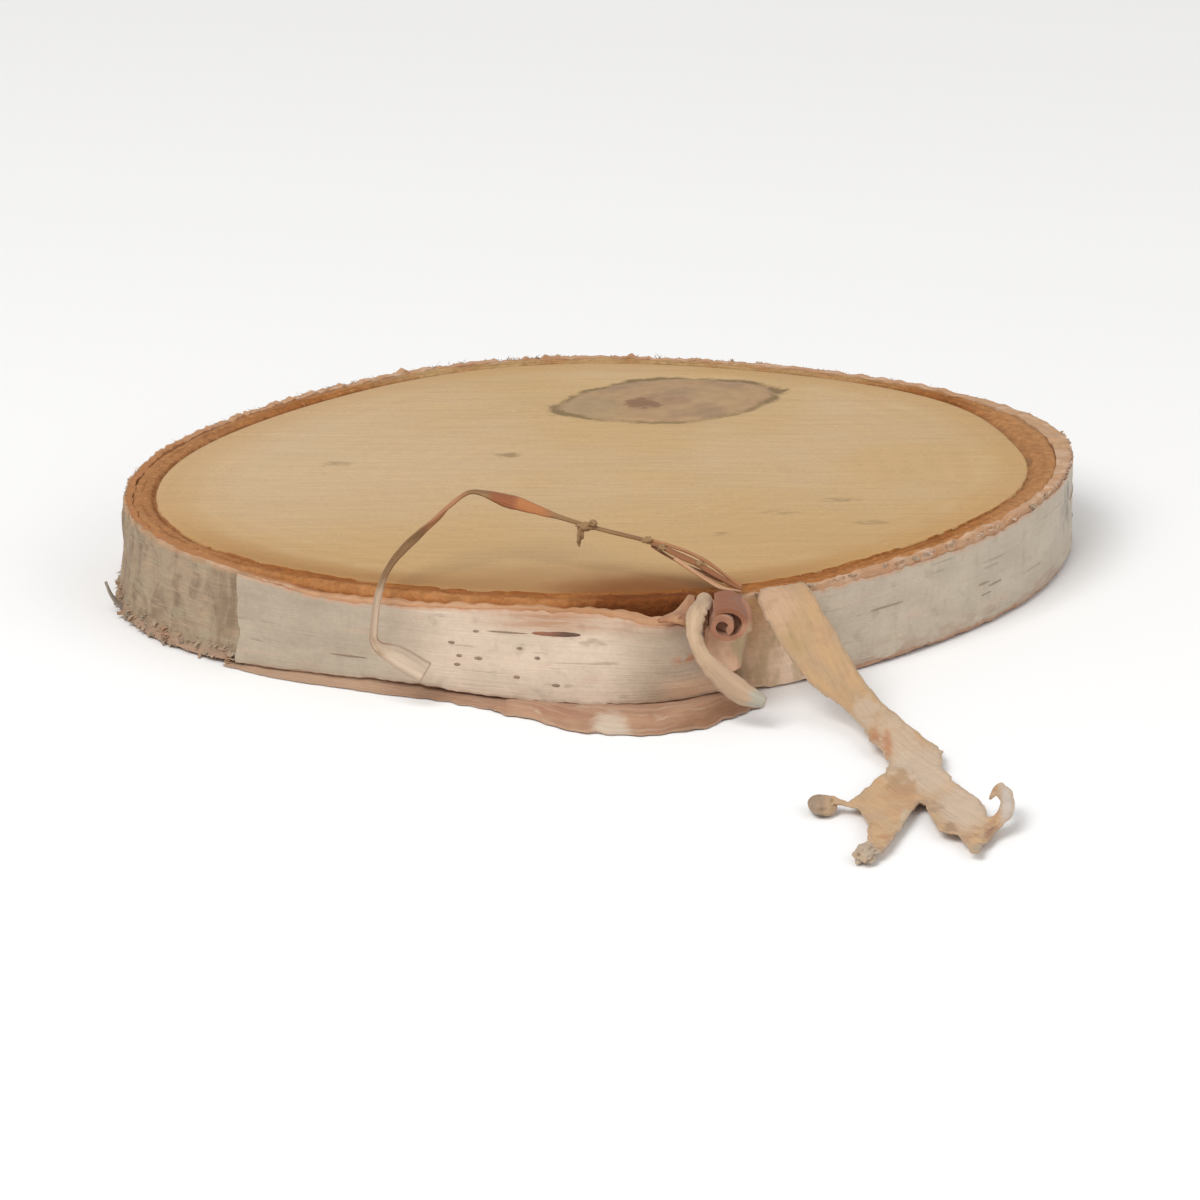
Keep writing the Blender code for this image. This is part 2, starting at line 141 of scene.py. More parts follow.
# Blots in the sawn face: place, reach both ways, how uneven and at what size, where they fade from and to,
# strength and colour. The knot's heart and the stained wood beside it, the pith, and two blots of painted
# shade by the crease, the second of them partly a real darkening of the wood
BLOTS = (
    (4.2, 23.6, 2.4, 2.2, 2.4, 1.1, 0.3, 0.9, 0.8, (0.23, 0.115, 0.06)),
    (7.4, 24.6, 2.0, 1.8, 1.6, 1.5, 0.1, 1.0, 0.45, (0.30, 0.17, 0.11)),
    (-9.6, 6.8, 1.7, 1.0, 2.2, 0.9, 0.1, 0.9, 0.7, (0.27, 0.17, 0.08)),
    (-3.0, -35.0, 25.0, 9.5, 0.4, 7.0, 0.0, 1.0, 0.7, (0.36, 0.19, 0.075)),
    (4.0, -37.0, 12.0, 8.0, 0.5, 5.0, 0.0, 1.0, 0.95, (0.215, 0.070, 0.008)),
)

# Tints in the knot, and further down on the forked ribbon: place, reach both ways, how ragged, the size of
# the grain that breaks them up, strength and colour
KNOT_TINTS = (
    (-1.5, 22.0, 4.5, 5.5, 0.0, None, 0.7, (0.40, 0.285, 0.155)),
    (12.0, 26.0, 4.0, 4.0, 0.0, None, 0.6, (0.50, 0.33, 0.165)),
)

# Dark slits in the white paper: x of the middle, height, half length and half height. The back's are drawn
FLAP_SLITS = (
    (-4.9, 7.1, 2.6, 0.26),
    (-9.6, 7.0, 2.6, 0.07),
    (-14.9, 5.6, 0.40, 0.21),
    (-12.2, 4.2, 0.46, 0.20),
    (-14.1, 4.3, 0.32, 0.18),
    (-14.3, 3.4, 0.34, 0.18),
    (-12.5, 6.9, 0.34, 0.16),
    (-8.2, 5.5, 0.38, 0.18),
    (-6.5, 4.7, 0.34, 0.20),
    (-8.4, 2.7, 0.34, 0.18),
    (-4.6, 2.2, 0.44, 0.17),
    (-25.1, 3.1, 2.1, 0.08),
)
RIGHT_SLITS = ((27.9, 5.8, 2.3, 0.10), (37.8, 4.6, 1.0, 0.10), (38.9, 4.1, 1.3, 0.10), (38.0, 3.4, 0.9, 0.10))
BACK_SLITS = 46
BACK_SLIT_TURNS = (2.0, 174.0)
BACK_SLIT_LENGTHS = (0.3, 0.8, 1.6, 3.0)
SLIT_RIDGE = 0.07

# Torn fibres: how many, from which turn to which, the lowest and highest root, the shortest and longest
FIBRES = (
    (1300, 95.0, 200.0, 9.4, 10.1, 0.10, 0.65),
    (600, 20.0, 100.0, 9.5, 10.1, 0.08, 0.5),
    (900, 178.0, 221.0, 0.2, 2.2, 0.12, 0.95),
    (160, -64.0, 20.0, 9.5, 10.0, 0.08, 0.4),
)
FIBRE_SUNK = 0.35

# Torn scales: how many and between which turns, then the least and the spread of their height, length, climb
# and width, with a power where large ones are rare
SCALES = (
    (70, (60.0, 200.0), (9.7, 0.0), (0.15, 0.35, 3.0), (0.1, 0.7), (0.3, 0.7)),
    (90, (178.0, 219.0), (0.2, 1.5, 1.5), (0.25, 0.5, 3.0), (-0.7, 0.8), (0.4, 0.8)),
    (6, (-68.0, -59.0), (9.95, 0.0), (0.4, 0.5), (-0.2, 0.7), (0.3, 0.6)),
    (60, (-64.0, 20.0), (9.75, 0.0), (0.15, 0.25), (0.1, 0.9), (0.3, 0.8)),
)
SCALE_SUNK = 0.25
SCALE_THICKNESS = 0.11

# Torn ribbons: places along the middle (x, y, z) and half width, then the way the width lies
LOOP_ROUTE = (
    ((13.4, -36.9, 10.65), 0.4, (0.2, 1.0, 0.0)),
    ((11.6, -36.9, 11.6), 0.42, (0.2, 1.0, 0.1)),
    ((9.6, -36.3, 12.7), 0.42, (0.0, 1.0, 0.3)),
    ((7.0, -34.8, 13.5), 0.32, (0.0, 1.0, 0.5)),
    ((4.5, -33.6, 14.3), 0.28, (0.0, 1.0, 0.5)),
    ((-0.3, -31.8, 15.0), 0.22, (0.0, 1.0, 0.5)),
    ((-3.7, -30.8, 15.7), 0.25, (0.0, 1.0, 0.5)),
    ((-6.9, -29.8, 16.5), 0.55, (0.0, 1.0, 1.0)),
    ((-9.6, -29.2, 17.2), 0.75, (0.1, 1.0, 0.9)),
    ((-12.9, -28.8, 17.9), 0.3, (0.2, 1.0, 0.2)),
    ((-14.8, -29.6, 17.0), 0.6, (0.5, 1.0, 0.2)),
    ((-16.9, -31.2, 15.5), 0.7, (0.7, 1.0, 0.2)),
    ((-19.3, -33.8, 14.0), 0.42, (0.9, 0.9, 0.1)),
    ((-21.0, -36.8, 12.7), 0.3, (1.0, 0.6, 0.0)),
    ((-21.9, -39.8, 11.2), 0.34, (1.0, 0.2, 0.0)),
    ((-22.3, -41.4, 8.8), 0.36, (1.0, 0.1, 0.0)),
    ((-22.2, -41.8, 6.6), 0.5, (1.0, 0.1, 0.3)),
    ((-19.9, -42.1, 5.4), 1.15, (0.5, 0.1, 1.0)),
    ((-17.3, -42.5, 3.9), 1.15, (0.5, 0.1, 1.0)),
)
CURL_ROUTE = (
    ((9.8, -38.9, 10.65), 0.7, (1.0, 0.0, 0.0)),
    ((9.6, -41.0, 10.65), 0.95, (1.0, 0.0, 0.0)),
    ((9.1, -43.6, 11.0), 0.95, (1.0, 0.1, 0.0)),
    ((8.8, -45.4, 10.5), 0.9, (1.0, 0.1, 0.0)),
    ((8.8, -46.4, 8.9), 0.72, (1.0, 0.1, 0.1)),
    ((9.6, -46.9, 7.0), 0.75, (1.0, 0.1, 0.5)),
    ((11.1, -47.5, 5.4), 1.1, (0.9, 0.1, 1.0)),
    ((13.1, -48.3, 3.9), 1.2, (0.6, 0.1, 1.0)),
    ((15.6, -48.8, 3.0), 0.55, (0.3, 0.1, 1.0)),
)
CURL_ROOT_ROUTE = (
    ((8.5, -38.2, 10.3), 0.35, (1.0, 0.0, 0.0)),
    ((8.2, -40.0, 10.15), 0.65, (1.0, 0.1, 0.0)),
    ((7.7, -42.0, 10.0), 1.05, (1.0, 0.2, 0.0)),
    ((7.2, -43.7, 9.9), 1.6, (1.0, 0.2, -0.1)),
    ((7.0, -44.7, 9.6), 1.9, (1.0, 0.2, -0.1)),
)
TONGUE_ROUTE = (
    ((11.9, -38.2, 10.65), 0.8, (1.0, 0.3, 0.0)),
    ((12.4, -40.3, 10.7), 1.3, (1.0, 0.3, 0.0)),
    ((12.7, -41.8, 10.0), 1.9, (1.0, 0.3, 0.0)),
    ((12.4, -42.3, 8.5), 2.25, (1.0, 0.3, 0.0)),
    ((11.9, -41.9, 7.0), 2.3, (1.0, 0.3, 0.1)),
    ((12.1, -41.9, 5.6), 1.9, (1.0, 0.3, 0.1)),
    ((12.9, -42.3, 4.1), 0.5, (1.0, 0.3, 0.1)),
)
SHRED_ROUTE = (
    ((-46.2, -13.2, 0.5), 0.45, (0.0, 1.0, 0.4)),
    ((-47.4, -13.6, 0.55), 0.42, (0.0, 1.0, 0.4)),
    ((-48.6, -13.8, 1.1), 0.36, (0.0, 1.0, 0.3)),
    ((-49.4, -13.8, 2.2), 0.28, (0.1, 1.0, 0.2)),
    ((-49.8, -13.7, 3.4), 0.14, (0.2, 1.0, 0.1)),
)
RIBBON_STEPS = 8
RIBBON_ROWS = 6

# Strands beside the loop's root: name, stretch of the loop's route, the way they stand off, share of width
STRANDS = (
    ("upper_strand", 0, 5, (0.2, 0.4, 0.5), 0.5),
    ("lower_strand", 0, 4, (-0.3, -0.9, -0.65), 0.7),
    ("side_strand", 1, 5, (0.2, 0.3, -0.95), 0.5),
)

# Torn knots where the strands part: middle, half width and half height
KNOTS = (
    (-1.7, -31.5, 15.2, 0.85, 0.42),
    (-2.3, -31.3, 14.6, 0.36, 0.75),
    (-2.45, -31.35, 13.8, 0.22, 0.6),
    (-1.1, -31.7, 15.6, 0.36, 0.34),
    (4.2, -33.7, 14.5, 0.55, 0.36),
    (5.6, -34.3, 14.0, 0.45, 0.3),
    (9.4, -36.2, 12.9, 0.5, 0.28),
)
KNOT_DEPTH = 0.36

# The brown layer rolled up on itself at the rim
SCROLL_MIDDLE = (12.1, -41.9, 9.7)
SCROLL_TURNS = 1.5
SCROLL_FIRST_BEND = 2.3
SCROLL_LENGTH = 4.0
SCROLL_RADIUS = 1.95
SCROLL_TIGHTENS = 1.3
SCROLL_THICKNESS = 0.52
SCROLL_GRID = (72, 8)

# The forked ribbon: its outline seen from above, and how it comes down from the rim
FORK_OUTLINE = (
    (15.2, -36.7), (15.0, -38.1), (15.8, -39.9), (16.8, -41.6), (18.4, -43.6), (20.3, -45.9), (23.0, -48.4),
    (24.8, -51.8), (25.7, -55.6), (27.0, -58.3), (26.9, -62.0), (25.2, -66.0), (23.8, -69.0), (23.2, -70.9),
    (22.2, -70.9), (21.2, -69.8), (20.3, -70.1), (19.8, -71.5), (20.6, -72.7), (22.0, -72.1), (23.6, -72.6),
    (24.6, -76.0), (24.7, -80.7), (23.8, -83.4), (25.0, -85.1), (26.4, -83.4), (27.6, -79.5), (28.9, -74.6),
    (29.9, -71.2), (30.7, -75.2), (31.7, -79.2), (33.2, -79.9), (34.7, -84.8), (36.6, -79.6), (38.3, -77.6),
    (38.8, -75.2), (38.5, -73.0), (37.6, -71.4), (36.6, -71.8), (37.1, -73.1), (37.3, -74.6), (36.5, -75.9),
    (35.6, -71.2), (33.8, -66.4), (32.4, -61.6), (32.5, -57.7), (31.6, -55.0), (28.5, -50.2), (26.6, -47.3),
    (25.0, -44.9), (23.3, -42.0), (21.6, -39.4), (20.3, -37.0), (19.5, -34.8), (18.4, -35.3), (16.9, -35.9),
)
FORK_SMOOTHING = 4
FORK_CELL = 1.1
FORK_FALL_FROM = -36.5
FORK_FALL = 8.4
FORK_FALL_POWER = 1.6
FORK_CURL = 0.45
FORK_CURL_WIDTH = 1.3
FORK_CRUMPLE = 0.55
FORK_THICKNESS = 0.32
HOOK_FROM = (36.3, -76.5)
HOOK_BELOW = -70.0
HOOK_RISE = (0.5, 0.28)

# Swollen ends of its side twig and its left prong: middle, half sizes, how lumpy, how finely, and the seed
BUDS = (
    ((20.7, -71.4, 0.85), (1.25, 1.9, 0.8), 0.35, 1.3, 7.0),
    ((24.3, -84.6, 0.75), (0.95, 1.5, 0.7), 0.60, 2.3, 16.0),
)

# Tints on this ribbon: a pale root with an olive spot, the orange and the olive tear, the warm left prong
FORK_TINTS = (
    (16.6, -38.0, 3.0, 4.0, 0.0, None, 0.85, (0.63, 0.405, 0.255)),
    (18.8, -41.2, 1.8, 2.2, 0.0, 1.5, 0.6, (0.45, 0.30, 0.12)),
    (26.6, -55.5, 1.4, 5.6, 0.0, (1.0, 2.2, 1.0), 0.9, (0.50, 0.21, 0.085)),
    (28.3, -65.6, 2.0, 4.6, 3.2, None, 0.7, (0.38, 0.215, 0.095)),
    (27.9, -70.0, 3.2, 6.5, 0.0, 2.4, 0.7, (0.50, 0.275, 0.14)),
)

# The same towards its tips: the crotch, two dark spots, the grey tip and the paler left prong
FORK_TIP_TINTS = (
    (30.8, -72.0, 1.8, 3.4, 0.0, 0.9, 0.6, (0.33, 0.20, 0.11)),
    (32.5, -78.0, 1.1, 2.2, 2.4, None, 0.85, (0.35, 0.21, 0.115)),
    (36.3, -79.3, 1.0, 2.2, 2.4, None, 0.85, (0.31, 0.155, 0.09)),
    (35.0, -84.6, 1.7, 3.2, 2.4, None, 0.85, (0.37, 0.295, 0.21)),
    (28.7, -77.5, 1.3, 5.5, 2.4, None, 0.6, (0.56, 0.47, 0.34)),
    (24.5, -84.6, 1.9, 3.0, 2.4, None, 0.9, (0.45, 0.40, 0.315)),
)

# Torn paper: its pale, its dark and its spot colour, then tints along it: middle and reach as shares of its
# length, colour, and for a tint that keeps to one edge its middle and reach across the width
TORN_PAPER = {
    "peeled_layer": (
        (0.41, 0.235, 0.14),
        (0.35, 0.18, 0.105),
        (0.46, 0.32, 0.22),
        (0.73, 0.036, (0.56, 0.45, 0.345), 0.97, 0.30),
        # The next tint, dark at the right end of the outer edge, is painted shade under the lip's curled edge
        (0.92, 0.12, (0.25, 0.12, 0.06), 1.0, 0.3),
        (0.12, 0.26, (0.50, 0.32, 0.205)),
    ),
    "rust_bark": (
        (0.29, 0.165, 0.07),
        (0.25, 0.13, 0.05),
        (0.15, 0.065, 0.028),
        (0.07, 0.19, (0.27, 0.10, 0.038)),
        (0.403, 0.055, (0.42, 0.155, 0.05)),
        (0.448, 0.030, (0.27, 0.085, 0.030)),
        (0.575, 0.065, (0.42, 0.185, 0.08)),
        (0.83, 0.085, (0.52, 0.385, 0.27)),
        (0.97, 0.085, (0.55, 0.43, 0.32)),
    ),
    "upper_strand_bark": ((0.44, 0.20, 0.085), (0.33, 0.13, 0.05), (0.22, 0.08, 0.03)),
    "lower_strand_bark": ((0.58, 0.34, 0.19), (0.46, 0.22, 0.11), (0.22, 0.08, 0.03)),
    "side_strand_bark": ((0.36, 0.16, 0.07), (0.28, 0.11, 0.045), (0.22, 0.08, 0.03)),
    "thread_bark": ((0.38, 0.24, 0.11), (0.29, 0.165, 0.07), (0.20, 0.10, 0.04)),
    "cream_curl": (
        (0.52, 0.365, 0.235),
        (0.46, 0.31, 0.19),
        (0.40, 0.25, 0.155),
        (0.80, 0.15, (0.44, 0.295, 0.19)),
        (1.0, 0.10, (0.36, 0.335, 0.27)),
    ),
    "curl_root_bark": ((0.47, 0.25, 0.13), (0.36, 0.165, 0.08), (0.24, 0.09, 0.04)),
    "brown_tongue": (
        (0.63, 0.40, 0.26),
        (0.54, 0.31, 0.19),
        (0.38, 0.18, 0.10),
        (0.10, 0.45, (0.33, 0.14, 0.075)),
        (0.72, 0.32, (0.42, 0.31, 0.175), 0.88, 0.36),
    ),
    "brown_scroll": (
        (0.48, 0.26, 0.165),
        (0.40, 0.19, 0.11),
        (0.28, 0.11, 0.055),
        (0.10, 0.16, (0.25, 0.09, 0.042)),
    ),
    "grey_shred": ((0.27, 0.235, 0.19), (0.22, 0.18, 0.135), (0.36, 0.28, 0.22)),
}

# The set: soft lamps (name, place in metres, size, power) and the photo's view
LAMPS = (("key", (-0.35, -0.55, 0.75), 0.55, 6.6), ("fill", (0.7, -0.5, 0.5), 0.9, 2.4))
FLOOR_COLOUR = (0.93, 0.93, 0.93, 1.0)
ROOM_COLOUR = (1.0, 0.99, 0.975, 1.0)
ROOM_LIGHT = 0.52
VIEW_ELEVATION = 19.0
VIEW_DISTANCE = 1000.0
VIEW_TARGET = (-0.4, -6.6, -1.0)
VIEW_WIDTH = 121.0


# Shapes that several pieces share


def hump(angle, crest, spread):
    """One smooth hump round the rim: 1 at its crest, and near 0 two spreads away."""
    away = (angle - crest + 180.0) % 360.0 - 180.0
    return math.exp(-((away / spread) ** 2))


def ease(share):
    """Smoothly from 0 to 1 as the share goes from 0 to 1."""
    share = max(0.0, min(1.0, share))
    return share * share * (3.0 - 2.0 * share)


def chance(x, y, z):
    """Smooth noise from -1 to 1, with waves about 1 long."""
    return noise.noise(Vector((x, y, z)))


def wave(angle, size, layer=0.0, height=0.0):
    """Smooth noise from -1 to 1 that closes on itself round the rim, with waves of this size."""
    turn = math.radians(angle)
    reach = MEAN_RADIUS / size
    return chance(reach * math.cos(turn), reach * math.sin(turn), layer + height / size)


def rim_radius(angle):
    """The outer face of the bark, from the middle of the disc."""
    radius = MEAN_RADIUS + CORNER_BULGE * hump(angle, CORNER_ANGLE, CORNER_SPREAD)
    for waves, swing, first in RIM_LOBES:
        radius += swing * math.cos(math.radians(waves * (angle - first)))
    return radius


def outer_wall(angle):
    return OUTER_WALL + CORNER_EXTRA_WALL * hump(angle, CORNER_ANGLE, CORNER_SPREAD)


def wood_radius(angle):
    depth = BARK_DEPTH + CORNER_EXTRA_DEPTH * hump(angle, CORNER_ANGLE, CORNER_SPREAD)
    depth -= BACK_THINNER * hump(angle, BACK_ANGLE, BACK_SPREAD)
    return rim_radius(angle) - depth


def bast_radius(angle):
    """Where the inner bark ends and the sheet begins."""
    return rim_radius(angle) - outer_wall(angle) - TOUCH_GAP / 2


def around(angle, radius, height):
    turn = math.radians(angle)
    return Vector((radius * math.cos(turn), radius * math.sin(turn), height)) * MM


def angle_of(spot):
    return math.degrees(math.atan2(spot.y, spot.x))


def on_flap(turn):
    return turn > (SHEET_START + SHEET_END) / 2


def sheet_radius(turn, up):
    """The outer face of the bark sheet, from its foot at up = 0 to its top at up = 1."""
    radius = rim_radius(turn) + FLARE * hump(turn, FLARE_ANGLE, FLARE_SPREAD) * (1 - up) ** 2
    if on_flap(turn):
        radius += FLAP_TOP_BOW * up * hump(turn, FLAP_CREST_ANGLE, FLAP_CREST_SPREAD)
        radius += FLAP_FOOT_BOW * (1 - up) * hump(turn, FLAP_FOOT_ANGLE, FLAP_FOOT_SPREAD)
    return radius


def sheet_swell(turn, height):
    """The sheet's slow swells, which the paper and the slits in it follow."""
    return 0.13 * wave(turn, 7.0, 2.0, height)


def sheet_foot(turn):
    """The lowest the sheet comes: it rests on the bent-out layer at the tear."""
    angle = turn if turn < 180.0 else turn - 360.0
    lifted = ease((angle - LIFTED_FROM) / LIFTED_SLOPE) * ease((LIFTED_TO - angle) / LIFTED_SLOPE)
    height = LIFTED_HEIGHT + LIFTED_HUMP * hump(angle, LIFTED_HUMP_ANGLE, LIFTED_HUMP_SPREAD)
    return FOOT_CLEAR + (height - FOOT_CLEAR) * lifted


def rim_dip(turn):
    """How far the top of the sheet sinks below the sawn face along the front."""
    if not on_flap(turn):
        return 0.25 * hump(turn, -62.0, 12.0)
    front = 0.45 * ease((turn - 218.0) / 14.0)
    return front + 0.55 * hump(turn, -126.0, 13.0) + 0.35 * hump(turn, -81.0, 6.0)


def sheet_top(turn):
    """The torn top edge of the sheet under the paper. It sinks out of sight in the crease."""
    torn = ease((turn - 40.0) / 60.0) * ease((214.0 - turn) / 12.0)
    top = SLICE_HEIGHT + 0.02 - rim_dip(turn) + 0.22 * wave(turn, 1.2, 1.0) + 0.16 * wave(turn, 5.0, 7.0)
    top -= CREASE_SINK * ease((CREASE_SINKS_FROM - turn) / (CREASE_SINKS_FROM - CREASE_SINKS_TO))
    return top + 0.45 * torn * max(0.0, wave(turn, 0.7, 2.0)) + 0.1 * torn * wave(turn, 0.35, 4.0)


def sheet_low(turn):
    ragged = 0.25 * abs(wave(turn, 1.5, 3.0)) + 0.25 * abs(wave(turn, 6.0, 8.0))
    return sheet_foot(turn) + ragged + END_CUT * ease((turn - END_CUT_FROM) / (SHEET_END - END_CUT_FROM))


def paper_top(turn):
    """The white paper stops short of the torn edge, and well short of it on the flap."""
    bare = 0.30 + 0.25 * wave(turn, 1.0, 12.0) + 0.25 * wave(turn, 4.0, 15.0)
    bare += 0.5 * hump(turn, -30.0, 32.0)
    if on_flap(turn):
        bare += 0.15 * hump(turn, -84.0, 13.0) + 0.15 * wave(turn, 2.2, 16.0)
    return SLICE_HEIGHT - rim_dip(turn) - max(0.05, bare)


def paper_low(turn):
    bare = 0.25 + 0.3 * abs(wave(turn, 1.1, 18.0)) + 0.3 * abs(wave(turn, 5.0, 19.0))
    return sheet_low(turn) + bare * (0.45 if on_flap(turn) else 1.0)


def panel_curl(turn):
    """How far the left paper stands off at the edge of the bare panel."""
    return 0.25 * math.exp(-(turn - LEFT_PAPER[0]) / 0.9) + 0.15 * wave(turn, 3.0, 21.0)


def turn_where(x, turn):
    """The turn, found from one near it, where the bark's outer face has this x."""
    for _ in range(40):
        short = x - sheet_radius(turn, 0.6) * math.cos(math.radians(turn))
        turn += 0.6 * math.degrees(short / MEAN_RADIUS)
    return turn


def knot_ways(x, y):
    """How far out a place lies along the knot and across it, each 1 at its rim. Fields work too."""
    turn = math.radians(KNOT_TILT)
    away_x, away_y = x - KNOT_MIDDLE[0], y - KNOT_MIDDLE[1]
    long_way = abs(away_x * math.cos(turn) + away_y * math.sin(turn)) / KNOT_HALF_LENGTH
    short_way = abs(away_y * math.cos(turn) - away_x * math.sin(turn)) / KNOT_HALF_WIDTH
    return long_way, short_way


def knot_distance(long_way, short_way):
    """1 on the outline of the knot, less inside it."""
    return (long_way**KNOT_POINTEDNESS + short_way**KNOT_POINTEDNESS) ** (1.0 / KNOT_POINTEDNESS)


def blend_rows(rows, share):
    """A smooth curve through rows of numbers: the row that lies this share of the way along."""
    run = share * (len(rows) - 1)
    first = min(int(run), len(rows) - 2)
    part = run - first
    before, here, after, beyond = (rows[max(0, min(first + n, len(rows) - 1))] for n in (-1, 0, 1, 2))
    blended = []
    for b, h, a, c in zip(before, here, after, beyond):
        leaving, arriving = (a - b) / 2, (c - h) / 2
        bend = (1 - part) * (leaving - (a - h)) + part * ((a - h) - arriving)
        blended.append(h + part * (a - h) + part * (1 - part) * bend)
    return blended


# Working on a piece


def choose(*pieces):
    """Selects only these pieces, the first of them active."""
    if bpy.context.object is not None and bpy.context.object.mode != "OBJECT":
        bpy.ops.object.mode_set(mode="OBJECT")
    bpy.ops.object.select_all(action="DESELECT")
    for piece in pieces:
        piece.select_set(True)
    bpy.context.view_layer.objects.active = pieces[0]


def fresh(name, add, **settings):
    """A new primitive under its own name, with nothing else selected."""
    bpy.ops.object.select_all(action="DESELECT")
    add(**settings)
    piece = bpy.context.object
    piece.name = name
    piece.data.name = name
    return piece


def laid_grid(name, columns, rows, place):
    """A grid laid where place(along, over) says. Along and over stay on it as its UV map."""
    add = bpy.ops.mesh.primitive_grid_add
    piece = fresh(name, add, x_subdivisions=columns, y_subdivisions=rows, size=1.0, calc_uvs=True)
    for vertex in piece.data.vertices:
        vertex.co = place(vertex.co.x + 0.5, vertex.co.y + 0.5)
    return piece


def repeated(pattern, rows, shape):
    """A copy of the pattern for each row, its vertices put where shape(*row) says, all in one piece."""
    name = pattern.name
    copies = []
    for row in rows:
        copy = pattern.copy()
        copy.data = pattern.data.copy()
        bpy.context.collection.objects.link(copy)
        place = shape(*row)
        for vertex in copy.data.vertices:
            vertex.co = place(*vertex.co)
        copies.append(copy)
    bpy.data.meshes.remove(pattern.data)
    choose(*copies)
    bpy.ops.object.join()
    joined = bpy.context.object
    joined.name = name
    joined.data.name = name
    return joined


def keep(piece, name, values):
    """Keeps a number for each vertex on the piece, for its finish to read."""
    piece.data.attributes.new(name, "FLOAT", "POINT").data.foreach_set("value", values)


def note(piece, name, value_at):
    keep(piece, name, [value_at(vertex.co / MM) for vertex in piece.data.vertices])


def note_run(piece, length, width):
    """Keeps how far along, over and from the edge each vertex of a grid is, read from its UV map."""
    layer = piece.data.uv_layers.active.data
    spots = {loop.vertex_index: tuple(layer[loop.index].uv) for loop in piece.data.loops}
    ways = [spots[number] for number in range(len(piece.data.vertices))]
    keep(piece, "along", [u * length for u, v in ways])
    keep(piece, "over", [v * width for u, v in ways])
    keep(piece, "share", [u for u, v in ways])
    keep(piece, "across", [v for u, v in ways])
    keep(piece, "edge", [min(u * length, (1 - u) * length, v * width, (1 - v) * width) for u, v in ways])


def close_seams(piece):
    """Welds the ends of a grid that meet, and turns its faces outwards."""
    choose(piece)
    bpy.ops.object.mode_set(mode="EDIT")
    bpy.ops.mesh.select_all(action="SELECT")
    bpy.ops.mesh.remove_doubles(threshold=0.002 * MM)
    bpy.ops.mesh.normals_make_consistent(inside=False)
    bpy.ops.object.mode_set(mode="OBJECT")


def modify(piece, kind, **settings):
    """Adds a modifier and applies it."""
    choose(piece)
    modifier = piece.modifiers.new(kind.lower(), kind)
    for key, value in settings.items():
        setattr(modifier, key, value)
    bpy.ops.object.modifier_apply(modifier=modifier.name)


def thicken(piece, thickness, offset=0.0, **settings):
    modify(piece, "SOLIDIFY", thickness=thickness * MM, offset=offset, use_even_offset=False, **settings)


def roughen(piece, depth, size):
    """Small knocks and hollows all over a piece, of this depth and size."""
    clouds = bpy.data.textures.new(piece.name + "_knocks", "CLOUDS")
    clouds.noise_scale = size * MM
    clouds.noise_depth = 2
    modify(piece, "DISPLACE", texture=clouds, strength=depth * MM, mid_level=0.5)


def finish_piece(piece, finish, slot, *nodes):
    """Sets a piece down on the table, gives it its finish and hides the solids it stands for."""
    for vertex in piece.data.vertices:
        vertex.co.z = max(vertex.co.z, LOWEST * MM)
    choose(piece)
    bpy.ops.object.shade_smooth_by_angle(angle=math.radians(50.0))
    piece.data.materials.clear()
    piece.data.materials.append(finish.material)
    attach(piece, "root")
    if nodes:
        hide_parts(*nodes)


# Sums on a surface


class Field:
    """A number, place or colour that varies over a surface. Sums on numbers add their own nodes."""

    def __init__(self, finish, socket):
        self.finish = finish
        self.socket = socket

    def sum(self, operation, first, second):
        return self.finish.node("ShaderNodeMath", {"operation": operation}, {0: first, 1: second})

    def __add__(self, other):
        return self.sum("ADD", self, other)

    __radd__ = __add__

    def __sub__(self, other):
        return self.sum("SUBTRACT", self, other)

    def __rsub__(self, other):
        return self.sum("SUBTRACT", other, self)

    def __mul__(self, other):
        return self.sum("MULTIPLY", self, other)

    __rmul__ = __mul__

    def __truediv__(self, other):
        return self.sum("DIVIDE", self, other)

    def __pow__(self, other):
        return self.sum("POWER", self, other)

    def __abs__(self):
        return self.sum("ABSOLUTE", self, 0.0)

    def least(self, other):
        return self.sum("MINIMUM", self, other)

    def most(self, other):
        return self.sum("MAXIMUM", self, other)

    def sine(self):
        return self.sum("SINE", self, 0.0)

    def rise(self, low, high):
        """Runs smoothly from 0 at low to 1 at high."""
        return self.finish.node(
            "ShaderNodeMapRange",
            {"interpolation_type": "SMOOTHSTEP", "clamp": True},
            {"Value": self, "From Min": low, "From Max": high},
        )

    def near(self, middle, reach):
        """1 at the middle value, falling smoothly to 0 at this reach to either side."""
        return 1.0 - abs(self - middle).rise(0.0, reach)


